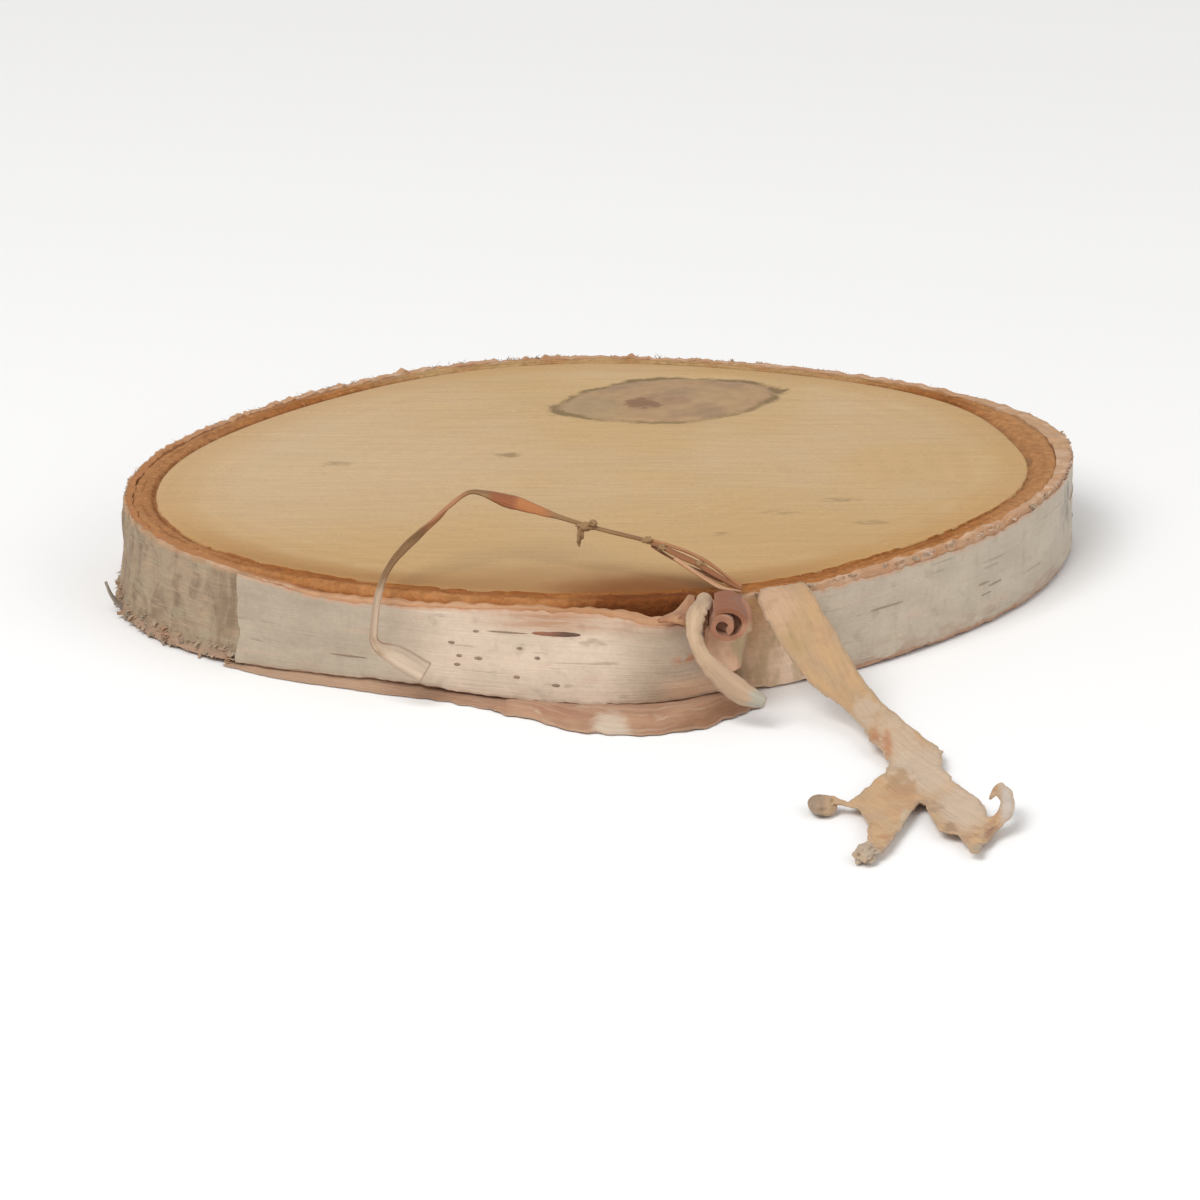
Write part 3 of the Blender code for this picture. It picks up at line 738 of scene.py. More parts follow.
class Finish:
    """One material and the nodes that paint it."""

    def __init__(self, name, roughness, coat=0.0, sheen=0.0, shine=0.35):
        self.material = bpy.data.materials.new(name)
        self.material.use_nodes = True
        self.tree = self.material.node_tree
        self.shader = self.tree.nodes["Principled BSDF"]
        self.shader.inputs["Roughness"].default_value = roughness
        self.shader.inputs["Coat Weight"].default_value = coat
        self.shader.inputs["Sheen Weight"].default_value = sheen
        self.shader.inputs["Specular IOR Level"].default_value = shine
        spots = self.node("ShaderNodeTexCoord", out="Object")
        self.place = self.node("ShaderNodeVectorMath", {"operation": "SCALE"}, {0: spots, "Scale": 1 / MM})
        split = "ShaderNodeSeparateXYZ"
        self.x, self.y, self.z = (self.node(split, {}, {0: self.place}, way) for way in range(3))

    def node(self, kind, settings=(), sockets=(), out=0):
        made = self.tree.nodes.new(kind)
        for key, value in dict(settings).items():
            setattr(made, key, value)
        for key, value in dict(sockets).items():
            if isinstance(value, Field):
                self.tree.links.new(value.socket, made.inputs[key])
            else:
                made.inputs[key].default_value = value
        return Field(self, made.outputs[out])

    def noted(self, name):
        """A number kept on the piece."""
        return self.node("ShaderNodeAttribute", {"attribute_name": name}, {}, "Fac")

    def spot(self, x, y, z=0.0):
        return self.node("ShaderNodeCombineXYZ", {}, {0: x, 1: y, 2: z})

    def grain(self, size, place=None, detail=3.0, roughness=0.55, distortion=0.0):
        """Noise from 0 to 1 with waves of this size, one number or one for each way."""
        sizes = size if isinstance(size, tuple) else (size, size, size)
        scaled = self.node(
            "ShaderNodeVectorMath",
            {"operation": "MULTIPLY"},
            {0: place or self.place, 1: tuple(1.0 / length for length in sizes)},
        )
        look = {"Scale": 1.0, "Detail": detail, "Roughness": roughness, "Distortion": distortion}
        return self.node("ShaderNodeTexNoise", {}, {"Vector": scaled, **look})

    def patch(self, x, y, reach_x, reach_y, ragged=0.0, wave_size=(1.1, 2.0, 1.5), inner=0.15, outer=1.0):
        """A soft oval patch: 1 in its middle and 0 at its edge, which may be ragged."""
        away = (abs(self.x - x) / reach_x) ** 2 + (abs(self.y - y) / reach_y) ** 2
        if ragged:
            away = away + ragged * (self.grain(wave_size) - 0.5)
        return 1.0 - away.rise(inner, outer)

    def paint(self, mask, under, over):
        """Lays one colour over another where the mask is 1."""
        under, over = ((*c, 1.0) if isinstance(c, tuple) else c for c in (under, over))
        return self.node("ShaderNodeMix", {"data_type": "RGBA"}, {0: mask, 6: under, 7: over}, 2)

    def tint(self, base, tints):
        """Lays soft tints on a colour in turn. The broken ones show only where their grain is high."""
        for x, y, reach_x, reach_y, ragged, grain_size, strength, colour in tints:
            mask = self.patch(x, y, reach_x, reach_y, ragged)
            if grain_size:
                mask = mask * self.grain(grain_size).rise(0.35, 0.58)
            base = self.paint(mask * strength, base, colour)
        return base

    def tone(self, colour, share):
        """A colour made darker or lighter."""
        return self.node("ShaderNodeVectorMath", {"operation": "SCALE"}, {0: colour, "Scale": share})

    def wear(self, colour, relief, roughness=None):
        """Gives the shader its colour, its fine relief in millimetres and its roughness."""
        bumped = self.node("ShaderNodeBump", {}, {"Strength": 1.0, "Distance": MM, "Height": relief})
        self.tree.links.new(colour.socket, self.shader.inputs["Base Color"])
        self.tree.links.new(bumped.socket, self.shader.inputs["Normal"])
        if roughness is not None:
            self.tree.links.new(roughness.socket, self.shader.inputs["Roughness"])


# Finishes


def sawn_wood_finish():
    """Dry sawn birch: tan, warmer towards the bark, with faint rings, saw lines and a grey knot."""
    wood = Finish("sawn_birch", 0.62)
    share = wood.noted("growth")
    base = wood.paint(wood.grain(16.0).rise(0.35, 0.68), (0.57, 0.40, 0.225), (0.55, 0.365, 0.175))
    front = wood.y.rise(8.0, -34.0) * 0.75
    base = wood.paint(front, base, (0.52, 0.325, 0.14))
    left = wood.x.rise(-5.0, -34.0) * wood.y.rise(-26.0, 0.0) * 0.6
    base = wood.paint(left, base, (0.60, 0.44, 0.275))
    edge = share.rise(0.80, 0.99)
    base = wood.paint(edge * (0.45 + 0.5 * front), base, (0.50, 0.28, 0.10))
    light_band = share.near(0.90, 0.05) * 0.35 * wood.grain(9.0).rise(0.35, 0.7)
    base = wood.paint(light_band, base, (0.62, 0.47, 0.27))

    rings = (share * 34.0 + 3.0 * wood.grain(17.0) + 0.6 * wood.grain(4.0)) * (math.tau / 2.1)
    ring_line = (rings.sine() * 0.5 + 0.5) * wood.grain(8.0).rise(0.40, 0.62)
    streaks = wood.grain((7.0, 0.45, 3.0), detail=2.0)
    pores = wood.grain((0.5, 0.28, 0.4), detail=2.0)
    base = wood.tone(base, 0.97 + 0.03 * ring_line + 0.22 * (streaks - 0.5) + 0.26 * (pores - 0.5))
    flecks = wood.grain((1.6, 0.5, 1.0), detail=1.0).rise(0.70, 0.80) * wood.grain(11.0).rise(0.45, 0.7)
    base = wood.paint(flecks * 0.6, base, (0.36, 0.22, 0.11))
    pale_flecks = wood.grain((1.3, 0.5, 1.0), detail=1.0).rise(0.68, 0.78) * wood.grain(6.0).rise(0.45, 0.62)
    base = wood.paint(pale_flecks * 0.5, base, (0.70, 0.55, 0.35))
    for x, y, reach in STREAKS:
        streak = wood.patch(x, y, reach, 0.9) * wood.grain((2.2, 0.55, 1.0)).rise(0.42, 0.56)
        base = wood.paint(streak * 0.6, base, (0.30, 0.20, 0.10))

    base, outline = with_knot(wood, base, pores)
    shore = share + 0.03 * (wood.grain(4.0) - 0.5)
    near_bark = shore.rise(0.86, 0.985) * wood.y.rise(-12.0, -30.0) * wood.x.rise(30.0, 12.0)
    base = wood.paint(near_bark * 0.6, base, (0.32, 0.155, 0.05))
    # The blots, the last two of them painted shade by the crease, the last also partly darker wood
    for x, y, reach_x, reach_y, uneven, wave_size, inner, outer, strength, stain_and_shade_colour in BLOTS:
        blot = wood.patch(x, y, reach_x, reach_y, uneven, wave_size, inner, outer)
        base = wood.paint(blot * strength, base, stain_and_shade_colour)

    saw = wood.grain((30.0, 0.8, 10.0), detail=1.0)
    relief = 0.06 * saw + 0.06 * pores + 0.01 * ring_line - 0.05 * outline
    relief = relief - 0.04 * flecks + 0.05 * pale_flecks
    wood.wear(base, relief, 0.58 + 0.2 * pores)
    return wood


def with_knot(wood, base, pores):
    """The sawn face with its knot, grey-brown inside a broken dark outline, and where that outline runs."""
    long_way, short_way = knot_ways(wood.x, wood.y)
    knot = knot_distance(long_way, short_way)
    knot = knot + 0.20 * (wood.grain(3.4) - 0.5) + 0.10 * (wood.grain(0.9) - 0.5)
    rings = ((knot * 4.0 + 1.6 * wood.grain(3.0)) * math.tau).sine() * 0.5 + 0.5
    inside = wood.paint(wood.grain(4.5).rise(0.36, 0.62), (0.37, 0.235, 0.14), (0.46, 0.29, 0.155))
    inside = wood.tint(inside, KNOT_TINTS)
    mottle = wood.grain((1.8, 1.2, 1.5))
    inside = wood.tone(inside, 0.70 + 0.06 * rings + 0.34 * mottle + 0.16 * (pores - 0.5))
    base = wood.paint((1.0 - knot.rise(0.92, 1.03)) * 0.92, base, inside)
    outline = knot.near(0.985, 0.085) * (0.30 + 0.90 * wood.grain(2.4).rise(0.34, 0.58))
    back_half = wood.y.rise(KNOT_MIDDLE[1], KNOT_MIDDLE[1] + 4.0)
    outline = outline * (0.55 + 0.45 * long_way.rise(0.70, 0.98).most(back_half))
    return wood.paint((outline * 1.25).least(0.95), base, (0.22, 0.145, 0.065)), outline


def inner_bark_finish():
    """Sawn bast and cork: orange-brown, darker against the wood, short crumbling grain."""
    bast = Finish("inner_bark_brown", 0.85, shine=0.12)
    share = bast.noted("across_bark")
    crumbs = bast.grain(0.9, detail=4.0, roughness=0.65)
    base = bast.paint(bast.grain(7.0).rise(0.35, 0.65), (0.375, 0.148, 0.042), (0.30, 0.108, 0.030))
    outer = share.rise(0.45, 0.95) * (0.35 + 0.65 * bast.grain(5.0).rise(0.35, 0.6))
    base = bast.paint(outer * 0.75, base, (0.47, 0.225, 0.088))
    left = bast.x.rise(-30.0, -42.0)
    base = bast.paint(left * 0.6, base, (0.40, 0.195, 0.085))
    breaks = bast.grain(3.0).rise(0.35, 0.6)
    back = bast.y.rise(27.0, 34.0) * (0.55 + 0.45 * breaks)
    base = bast.paint(back * 0.85, base, (0.45, 0.295, 0.14))
    line = share.near(0.10, 0.17) * (0.4 + 0.6 * breaks)
    base = bast.paint(line * 0.85 * (1.0 - 0.5 * back), base, (0.19, 0.07, 0.020))
    second = share.near(0.60, 0.12) * bast.grain(4.0).rise(0.42, 0.58)
    base = bast.paint(second * 0.6, base, (0.22, 0.085, 0.028))
    # Painted shade: the ring's wall below its top, seen only in the gap behind the flap, is painted dark
    base = bast.paint(bast.z.rise(9.6, 8.6) * 0.8, base, (0.20, 0.062, 0.018))
    # Painted shade in the crease, where the flap bows away from the ring
    crease = bast.patch(6.5, -39.5, 12.5, 4.4) * (0.75 + 0.4 * bast.grain((2.4, 1.6, 1.0)).rise(0.30, 0.62))
    base = bast.paint((crease * 1.1).least(0.95), base, (0.125, 0.030, 0.005))
    split = bast.patch(43.2, 5.2, 0.5, 1.9) * bast.grain(0.9).rise(0.3, 0.5)
    base = bast.paint(split, base, (0.09, 0.035, 0.012))
    front = bast.y.rise(-20.0, -32.0) * bast.x.rise(30.0, 12.0)
    base = bast.paint(front * 0.2, base, (0.27, 0.092, 0.026))
    base = bast.paint(bast.x.rise(36.0, 42.0) * 0.5, base, (0.47, 0.25, 0.115))
    ray = bast.grain((0.5, 0.5, 2.5), detail=2.0)
    base = bast.tone(base, 0.40 + 0.80 * crumbs + 0.38 * ray)
    specks = bast.grain(0.55, detail=2.0).rise(0.60, 0.70) * (1.0 - front)
    base = bast.paint(specks * 0.35, base, (0.60, 0.36, 0.17))
    bast.wear(base, 0.30 * crumbs + 0.16 * ray)
    return bast


def bark_sheet_finish():
    """The sheet under the white paper: cork and pink at its torn edges, grey-brown where it is bare."""
    sheet = Finish("under_bark", 0.8)
    turn, height, depth = (sheet.noted(word) for word in ("turn", "height", "depth"))
    run = sheet.spot(turn * DEGREE, height, depth)
    fibres = sheet.grain((5.0, 0.28, 0.5), run)
    crumbs = sheet.grain(0.8, detail=4.0, roughness=0.65)
    patches = sheet.grain((5.0, 3.0, 5.0)).rise(0.35, 0.65)
    base = sheet.paint(patches, (0.50, 0.30, 0.18), (0.46, 0.245, 0.125))
    corner = turn.near(CORNER_ANGLE, 34.0)
    base = sheet.paint(corner * 0.8, base, (0.47, 0.29, 0.165))
    pale = sheet.grain((2.5, 1.5, 2.5)).rise(0.5, 0.64)
    base = sheet.paint(pale * 0.6, base, (0.60, 0.43, 0.31))
    left_rim = turn.near(196.0, 34.0) * sheet.grain(2.2).rise(0.36, 0.6)
    base = sheet.paint(left_rim * 0.8, base, (0.34, 0.235, 0.13))
    inner_top = depth.rise(0.22, 0.42) * height.rise(9.3, 9.7) * turn.near(205.0, 70.0)
    base = sheet.paint((inner_top * 1.6).least(0.95), base, (0.37, 0.155, 0.055))
    bare = turn.rise(174.0, 178.0) * turn.rise(222.0, 220.0) * height.rise(9.9, 9.2)
    base = sheet.paint(bare, base, bare_bark(sheet, turn, run))
    foot = height.rise(1.6, 0.6)
    base = sheet.paint(foot * 0.6, base, (0.42, 0.25, 0.17))
    # Painted shade on the sheet's inner face below its top, where it shows in the gaps
    inside = depth.rise(0.35, 0.7) * height.rise(9.7, 9.0)
    base = sheet.paint(inside * 0.9, base, (0.21, 0.08, 0.03))
    below_rim = height.rise(10.0, 9.2)
    # Beside the fork: tan bark with lighter bits under painted shade, darkest at the upper left by the tongue
    # and painted lighter low down by the ribbon
    low_or_left = (turn.rise(-69.0, -62.0) + height.rise(9.0, 2.0)) * 0.5
    beside_fork = sheet.paint(low_or_left, (0.48, 0.265, 0.125), (0.80, 0.60, 0.44))
    tan_bits = sheet.grain((1.5, 3.0, 2.0), run).rise(0.45, 0.65)
    beside_fork = sheet.paint(tan_bits * 0.5, beside_fork, (0.42, 0.29, 0.15))
    base = sheet.paint(turn.rise(-57.0, -60.0) * below_rim, base, beside_fork)
    # Painted shade on the sheet's end tucked behind the flap, dark red-brown where it lies under the flap
    shaded_end = turn.rise(-68.5, -73.0)
    base = sheet.paint(shaded_end * below_rim, base, (0.10, 0.052, 0.027))
    base = sheet.paint(shaded_end * turn.rise(-73.0, -76.0), base, (0.17, 0.058, 0.020))
    flap_rim = turn.rise(222.0, 236.0) * height.rise(7.4, 8.4)
    rim_colour = sheet.paint(fibres.rise(0.4, 0.6), (0.57, 0.34, 0.195), (0.49, 0.25, 0.13))
    rim_colour = sheet.paint(turn.near(266.0, 16.0) * 0.9, rim_colour, (0.40, 0.20, 0.092))
    base = sheet.paint(flap_rim * 0.85, base, rim_colour)
    base = sheet.tone(base, 0.70 + 0.34 * fibres + 0.28 * crumbs)
    sheet.wear(base, 0.12 * crumbs + 0.10 * fibres)
    return sheet


def bare_bark(sheet, turn, run):
    """The colour where the white paper is gone: grey-brown, with some lichen and fuzz."""
    browns = sheet.grain((2.2, 5.0, 4.0), run, distortion=0.8).rise(0.42, 0.68)
    bare = sheet.paint(browns, (0.34, 0.25, 0.165), (0.22, 0.15, 0.095))
    lichen = sheet.grain((3.0, 1.6, 2.0), run).rise(0.5, 0.7)
    bare = sheet.paint(lichen * 0.6, bare, (0.36, 0.30, 0.195))
    fuzz = sheet.grain((2.6, 0.34, 0.6), run).rise(0.52, 0.64)
    bare = sheet.paint(fuzz * 0.5, bare, (0.42, 0.29, 0.185))
    # Painted shade on the bare bark along the raised edge of the left paper
    paper_side = turn.near(217.6, 4.0) * sheet.grain((1.2, 4.0, 1.0), run).rise(0.34, 0.6)
    return sheet.paint(paper_side * 0.8, bare, (0.205, 0.135, 0.08))


def white_paper_finish():
    """Birch paper: warm white with greyer stretches, fine lines round the trunk and pink torn edges."""
    paper = Finish("white_bark", 0.55, coat=0.06, sheen=0.1)
    turn, height = paper.noted("turn"), paper.noted("height")
    run = paper.spot(turn * DEGREE, height)
    lines = paper.grain((9.0, 0.22, 1.0), run, detail=2.0)
    clouds = paper.grain((6.0, 3.5, 4.0), run)
    fine = paper.grain(0.5)
    light_and_dark = clouds.rise(0.3, 0.7)
    white = paper.paint(clouds.rise(0.35, 0.68), (0.62, 0.49, 0.375), (0.54, 0.43, 0.325))
    grey = paper.paint(light_and_dark, (0.50, 0.42, 0.32), (0.44, 0.365, 0.275))
    shaded = paper.paint(light_and_dark, (0.42, 0.345, 0.255), (0.37, 0.295, 0.215))
    right = turn.rise(200.0, 190.0)
    base = paper.paint(right, white, grey)
    base = paper.paint(turn.rise(247.0, 236.0) * turn.rise(211.0, 214.0), base, shaded)
    smudge = paper.grain((2.6, 2.2, 2.0), run, detail=2.0).rise(0.58, 0.74)
    base = paper.paint(smudge * 0.35, base, (0.30, 0.235, 0.17))
    pink = paper.grain((7.0, 1.2, 1.0), run).rise(0.56, 0.72)
    base = paper.paint(pink * 0.3, base, (0.56, 0.34, 0.25))
    thin_line = paper.grain((14.0, 0.5, 1.0), run, detail=1.0).rise(0.60, 0.66)
    thin_line = thin_line * paper.grain((4.0, 2.0, 2.0), run).rise(0.5, 0.62)
    base = paper.paint(thin_line * 0.45, base, (0.24, 0.18, 0.13))
    band = turn.near(263.0, 15.0).most(turn.near(275.0, 12.0) * 0.7) * height.rise(6.6, 8.0)
    band = band * (0.62 + 0.38 * paper.grain((6.0, 0.5, 1.0), run).rise(0.38, 0.6))
    base = paper.paint(band * 0.95, base, (0.40, 0.215, 0.12))
    # Painted shade where the paper bends round the flap's crest
    bend = turn.near(277.2, 7.5) * height.rise(8.6, 7.6)
    base = paper.paint(bend * 0.7, base, (0.40, 0.31, 0.22))
    # The flap's foot by its end: its own peach, made lighter as painted light where the curl's shadow falls
    foot = turn.rise(275.0, 280.0) * height.rise(3.6, 2.0) * paper.grain((2.6, 1.2, 1.0), run).rise(0.25, 0.5)
    base = paper.paint(foot * 0.85, base, (0.74, 0.50, 0.33))
    tear_spot = turn.near(280.3, 2.6) * height.near(4.9, 0.8) * paper.grain(0.8).rise(0.36, 0.56)
    base = paper.paint(tear_spot, base, (0.50, 0.20, 0.09))
    smear = paper.grain((1.9, 9.0, 1.0), run, detail=4.0, distortion=0.6).rise(0.54, 0.74)
    base = paper.paint(smear * turn.rise(246.0, 238.0) * 0.4, base, (0.33, 0.26, 0.19))
    low = right * height.rise(3.2, 1.0) * paper.grain((5.0, 2.0, 1.0), run).rise(0.46, 0.60)
    base = paper.paint(low * 0.6, base, (0.36, 0.235, 0.165))
    edge = paper.noted("edge").rise(0.45, 0.0) * paper.grain((2.0, 1.0, 1.0), run).rise(0.30, 0.55)
    edge_colour = paper.paint(height.rise(5.0, 8.0), (0.37, 0.265, 0.185), (0.53, 0.30, 0.185))
    base = paper.paint(edge * 0.7, base, edge_colour)
    corner_spot = turn.near(2.0, 6.0) * height.rise(9.5, 8.0) * height.rise(3.0, 5.5)
    corner_spot = corner_spot * paper.grain((1.2, 2.5, 1.0), run).rise(0.36, 0.6)
    base = paper.paint(corner_spot * 0.75, base, (0.14, 0.11, 0.085))
    base = paper.tone(base, 0.83 + 0.13 * lines + 0.21 * fine)
    paper.wear(base, 0.05 * lines + 0.04 * fine + 0.03 * clouds, 0.46 + 0.22 * clouds)
    return paper


def torn_paper_finish(name):
    """Torn paper: streaked along its length, another colour at its edges, with its soft tints."""
    pale, dark, spots, *tints = TORN_PAPER[name]
    torn = Finish(name, 0.7, sheen=0.1)
    along, over, share, across = (torn.noted(word) for word in ("along", "over", "share", "across"))
    run = torn.spot(along, over)
    streaks = torn.grain((6.0, 0.30, 1.0), run)
    base = torn.paint(torn.grain((4.0, 1.2, 2.0), run).rise(0.35, 0.65), pale, dark)
    base = torn.paint(torn.grain((2.4, 0.8, 1.0), run, detail=2.0).rise(0.56, 0.70) * 0.75, base, spots)
    base = torn.paint(torn.grain((12.0, 0.7, 1.0), run, detail=1.0).rise(0.56, 0.66) * 0.45, base, spots)
    for middle, reach, tint, *edge_run in tints:
        away = (abs(share - middle) / reach) ** 2 + 1.1 * (torn.grain((1.6, 0.6, 1.0), run) - 0.5)
        if edge_run:
            away = away + (abs(across - edge_run[0]) / edge_run[1]) ** 2
        base = torn.paint((1.0 - away.rise(0.10, 1.15)) * 0.95, base, tint)
    base = torn.paint(torn.noted("edge").rise(0.35, 0.0) * 0.4, base, spots)
    base = torn.tone(base, 0.72 + 0.52 * streaks)
    torn.wear(base, 0.14 * streaks + 0.05 * torn.grain(0.4))
    return torn


def forked_ribbon_finish():
    """The forked ribbon: peach and tan, pinkish white where it forks, torn to orange, with reddish tips."""
    torn = Finish("peach_bark", 0.7, sheen=0.1)
    run = torn.spot(torn.noted("along"), torn.noted("over"))
    streaks = torn.grain((7.0, 0.40, 1.0), run, detail=4.0, roughness=0.6)
    patches = torn.grain((4.5, 1.6, 2.0), run).rise(0.35, 0.65)
    base = torn.paint(patches, (0.59, 0.365, 0.185), (0.52, 0.345, 0.195))
    base = torn.paint(torn.grain((2.8, 0.8, 1.0), run).rise(0.58, 0.70) * 0.35, base, (0.46, 0.235, 0.10))
    white = torn.patch(30.5, -62.0, 5.0, 8.0).most(torn.patch(34.0, -72.0, 3.4, 8.0))
    base = torn.paint(white * 0.85, base, (0.575, 0.44, 0.325))
    pale_side = torn.patch(28.2, -52.5, 2.8, 8.5, 2.4).most(torn.patch(25.2, -49.5, 1.2, 4.0, 2.8))
    base = torn.paint(pale_side * 0.7, base, (0.62, 0.475, 0.345))
    base = torn.tint(base, FORK_TINTS)
    tips = torn.y.rise(-74.0, -79.0).most(torn.x.rise(35.0, 37.0))
    base = torn.paint(torn.grain(1.5).rise(0.50, 0.64) * tips * 0.5, base, (0.36, 0.17, 0.09))
    base = torn.tint(base, FORK_TIP_TINTS)
    hook = torn.x.rise(36.9, 37.8)
    base = torn.paint(hook * 0.9, base, (0.54, 0.47, 0.41))
    twig = torn.x.rise(21.6, 20.4) * torn.y.rise(-66.0, -68.5)
    twig_colour = torn.paint(torn.grain(0.9).rise(0.4, 0.6), (0.26, 0.175, 0.115), (0.17, 0.11, 0.07))
    base = torn.paint(twig, base, twig_colour)
    # Greyer along the torn edges: partly their own colour, partly painted shade
    base = torn.paint(torn.noted("edge").rise(0.45, 0.0) * 0.5, base, (0.42, 0.29, 0.19))
    mottle = torn.grain((2.2, 1.6, 1.6))
    upper_mottle = mottle.rise(0.50, 0.66) * torn.y.rise(-60.0, -46.0)
    base = torn.paint(upper_mottle * 0.45, base, (0.45, 0.27, 0.15))
    towards_tips = 0.86 + 0.14 * torn.y.rise(-46.0, -62.0)
    base = torn.tone(base, (0.74 + 0.30 * streaks + 0.16 * mottle) * towards_tips)
    torn.wear(base, 0.20 * streaks + 0.08 * torn.grain(0.5))
    return torn


def slit_finish():
    """The dark corky slits of the bark, and the greyer dots and long slit of the flap."""
    slit = Finish("dark_slits", 0.85)
    crumbs = slit.grain(0.4)
    base = slit.paint(crumbs.rise(0.35, 0.65), (0.13, 0.07, 0.045), (0.30, 0.18, 0.12))
    base = slit.paint(slit.x.rise(20.0, 26.0) * 0.65, base, (0.35, 0.28, 0.20))
    front = slit.y.rise(0.0, -10.0)
    dots = slit.x.rise(-7.6, -8.0).most(slit.z.rise(6.2, 5.8)) * front
    base = slit.paint(dots * 0.5, base, (0.30, 0.23, 0.165))
    long_slit = slit.x.rise(-7.7, -7.3) * slit.z.rise(6.5, 6.7) * front
    long_colour = slit.paint(slit.x.rise(-6.0, -3.4), (0.27, 0.115, 0.065), (0.10, 0.055, 0.035))
    base = slit.paint(long_slit * 0.9, base, long_colour)
    slit.wear(base, 0.08 * crumbs)
    return slit


def fibre_finish():
    """Loose fibres: grey-brown with a few reddish ones, greyer at the back."""
    fibre = Finish("loose_fibres", 0.8)
    base = fibre.paint(fibre.grain(3.0).rise(0.4, 0.6), (0.32, 0.25, 0.175), (0.38, 0.23, 0.14))
    base = fibre.paint(fibre.y.rise(20.0, 32.0) * 0.6, base, (0.30, 0.245, 0.16))
    pale = fibre.grain(1.7).rise(0.46, 0.60) * (1.0 - 0.75 * fibre.z.rise(4.0, 2.5))
    base = fibre.paint(pale * 0.8, base, (0.55, 0.42, 0.32))
    base = fibre.tone(base, 0.75 + 0.5 * fibre.grain(0.6))
    fibre.wear(base, 0.03 * fibre.grain(0.3))
    return fibre


# The sawn disc


def face_relief(x, y):
    """How far the sawn face stands above or below level."""
    relief = 0.10 * chance(x / 14.0, y / 14.0, 0.0) + 0.035 * chance(x / 9.0, y / 0.9, 4.0)
    knot = knot_distance(*knot_ways(x, y))
    relief += 0.14 * math.exp(-((knot / 0.75) ** 4)) - 0.10 * math.exp(-(((knot - 1.0) / 0.06) ** 2))
    return relief - 0.20 * math.exp(-(((x - 5.4) / 1.6) ** 2) - ((y - 24.2) / 1.4) ** 2)


def make_sawn_wood():
    """The disc, turned from a profile of shares of its radius and heights. Its face is rough, with a knot."""
    face = [(0.992 * (1 - ring / FACE_RINGS), SLICE_HEIGHT) for ring in range(FACE_RINGS + 1)]
    profile = [*WOOD_EDGE, *face]

    def place(along, over):
        share, height = profile[round(over * (len(profile) - 1))]
        angle = 360.0 * along
        spot = around(angle, wood_radius(angle) * share, height)
        if height == SLICE_HEIGHT:
            spot.z += (face_relief(spot.x / MM, spot.y / MM) * min(1.0, (1 - share) * 12) - 0.02) * MM
        return spot

    wood = laid_grid("sawn_wood", WOOD_COLUMNS, len(profile) - 1, place)
    close_seams(wood)
    note(wood, "growth", lambda co: math.hypot(co.x, co.y) / wood_radius(angle_of(co)))
    finish_piece(wood, sawn_wood_finish(), "wood", "wood")


def make_inner_bark():
    """The ring between wood and sheet, with a sunk line against the wood and a crumbling top."""

    def place(along, over):
        share, height = RING_SECTION[round(over * (len(RING_SECTION) - 1))]
        angle = 360.0 * along
        inner, outer = wood_radius(angle) - 0.08, bast_radius(angle) + 0.12
        radius = inner + (outer - inner) * share
        if height > 9.6:
            height += 0.16 * wave(angle, 1.3, share * 3.0) + 0.14 * wave(angle, 4.5, share * 2.0 + 9.0)
        if share > 0.9:
            radius += 0.10 * wave(angle, 2.0, height)
        return around(angle, radius, height)

    def across(spot):
        inner = wood_radius(angle_of(spot))
        return (math.hypot(spot.x, spot.y) - inner) / (bast_radius(angle_of(spot)) - inner)

    ring = laid_grid("inner_bark_ring", RING_COLUMNS, len(RING_SECTION) - 1, place)
    close_seams(ring)
    note(ring, "across_bark", across)
    finish_piece(ring, inner_bark_finish(), "inner_bark", "inner_bark")


# The outer bark


def bark_layer(name, stretch, lift, wall_at, top_at, foot_at, tear=None):
    """One layer of the bark sheet: its outer face laid as a grid, its wall put on inwards.

    Where it has a tear, its end there sways: the tear's turn, how far it sways, and over what run.
    """
    start, end = stretch
    columns = round((end - start) * DEGREE / SHEET_CELL)

    def place(along, over):
        turn = start + (end - start) * along
        foot, top = foot_at(turn), top_at(turn)
        height = foot + (top - foot) * over
        turn += FLAP_FOOT_REACH * ease((turn - FLAP_FOOT_REACH_FROM) / 12.0) * (1.0 - over) ** 1.5
        if tear:
            sway = chance(0.0, height / 2.4, 27.0) + 0.4 * chance(0.0, height / 0.7, 28.0)
            turn += tear[1] * sway * math.exp(-abs(turn - tear[0]) / tear[2])
        radius = sheet_radius(turn, height / SLICE_HEIGHT) + lift + sheet_swell(turn, height)
        radius += 0.05 * wave(turn, 1.6, 5.0, 3.0 * height)
        bare = ease((turn - 174.0) / 4.0) * ease((LEFT_PAPER[0] + 1.0 - turn) / 2.0)
        radius += 0.28 * bare * (wave(turn, 1.3, 25.0, 0.3 * height) + 0.6 * wave(turn, 2.6, 26.0, height))
        if start == LEFT_PAPER[0]:
            radius += panel_curl(turn)
        return around(turn, radius, height)

    layer = laid_grid(name, columns, SHEET_ROWS, place)
    turns = [start + (end - start) * (n % (columns + 1)) / columns for n in range(len(layer.data.vertices))]
    heights = [vertex.co.z / MM for vertex in layer.data.vertices]
    edges = []
    for turn, height in zip(turns, heights):
        to_end = (end - turn) * 3.0 * DEGREE if on_flap(end) else height
        edges.append(min(top_at(turn) - height, height - foot_at(turn), to_end))
    keep(layer, "turn", turns)
    keep(layer, "height", heights)
    keep(layer, "edge", edges)

    thickest = max(wall_at(start + (end - start) * n / 40) for n in range(41))
    group = layer.vertex_groups.new(name="wall")
    for number, turn in enumerate(turns):
        group.add([number], wall_at(turn) / thickest, "REPLACE")
    thicken(layer, thickest, -1.0, vertex_group=group.name)
    depths = []
    for vertex, kept in zip(layer.data.vertices, layer.data.attributes["turn"].data):
        face = sheet_radius(kept.value, vertex.co.z / MM / SLICE_HEIGHT)
        depths.append(face - math.hypot(vertex.co.x, vertex.co.y) / MM)
    keep(layer, "depth", depths)
    return layer


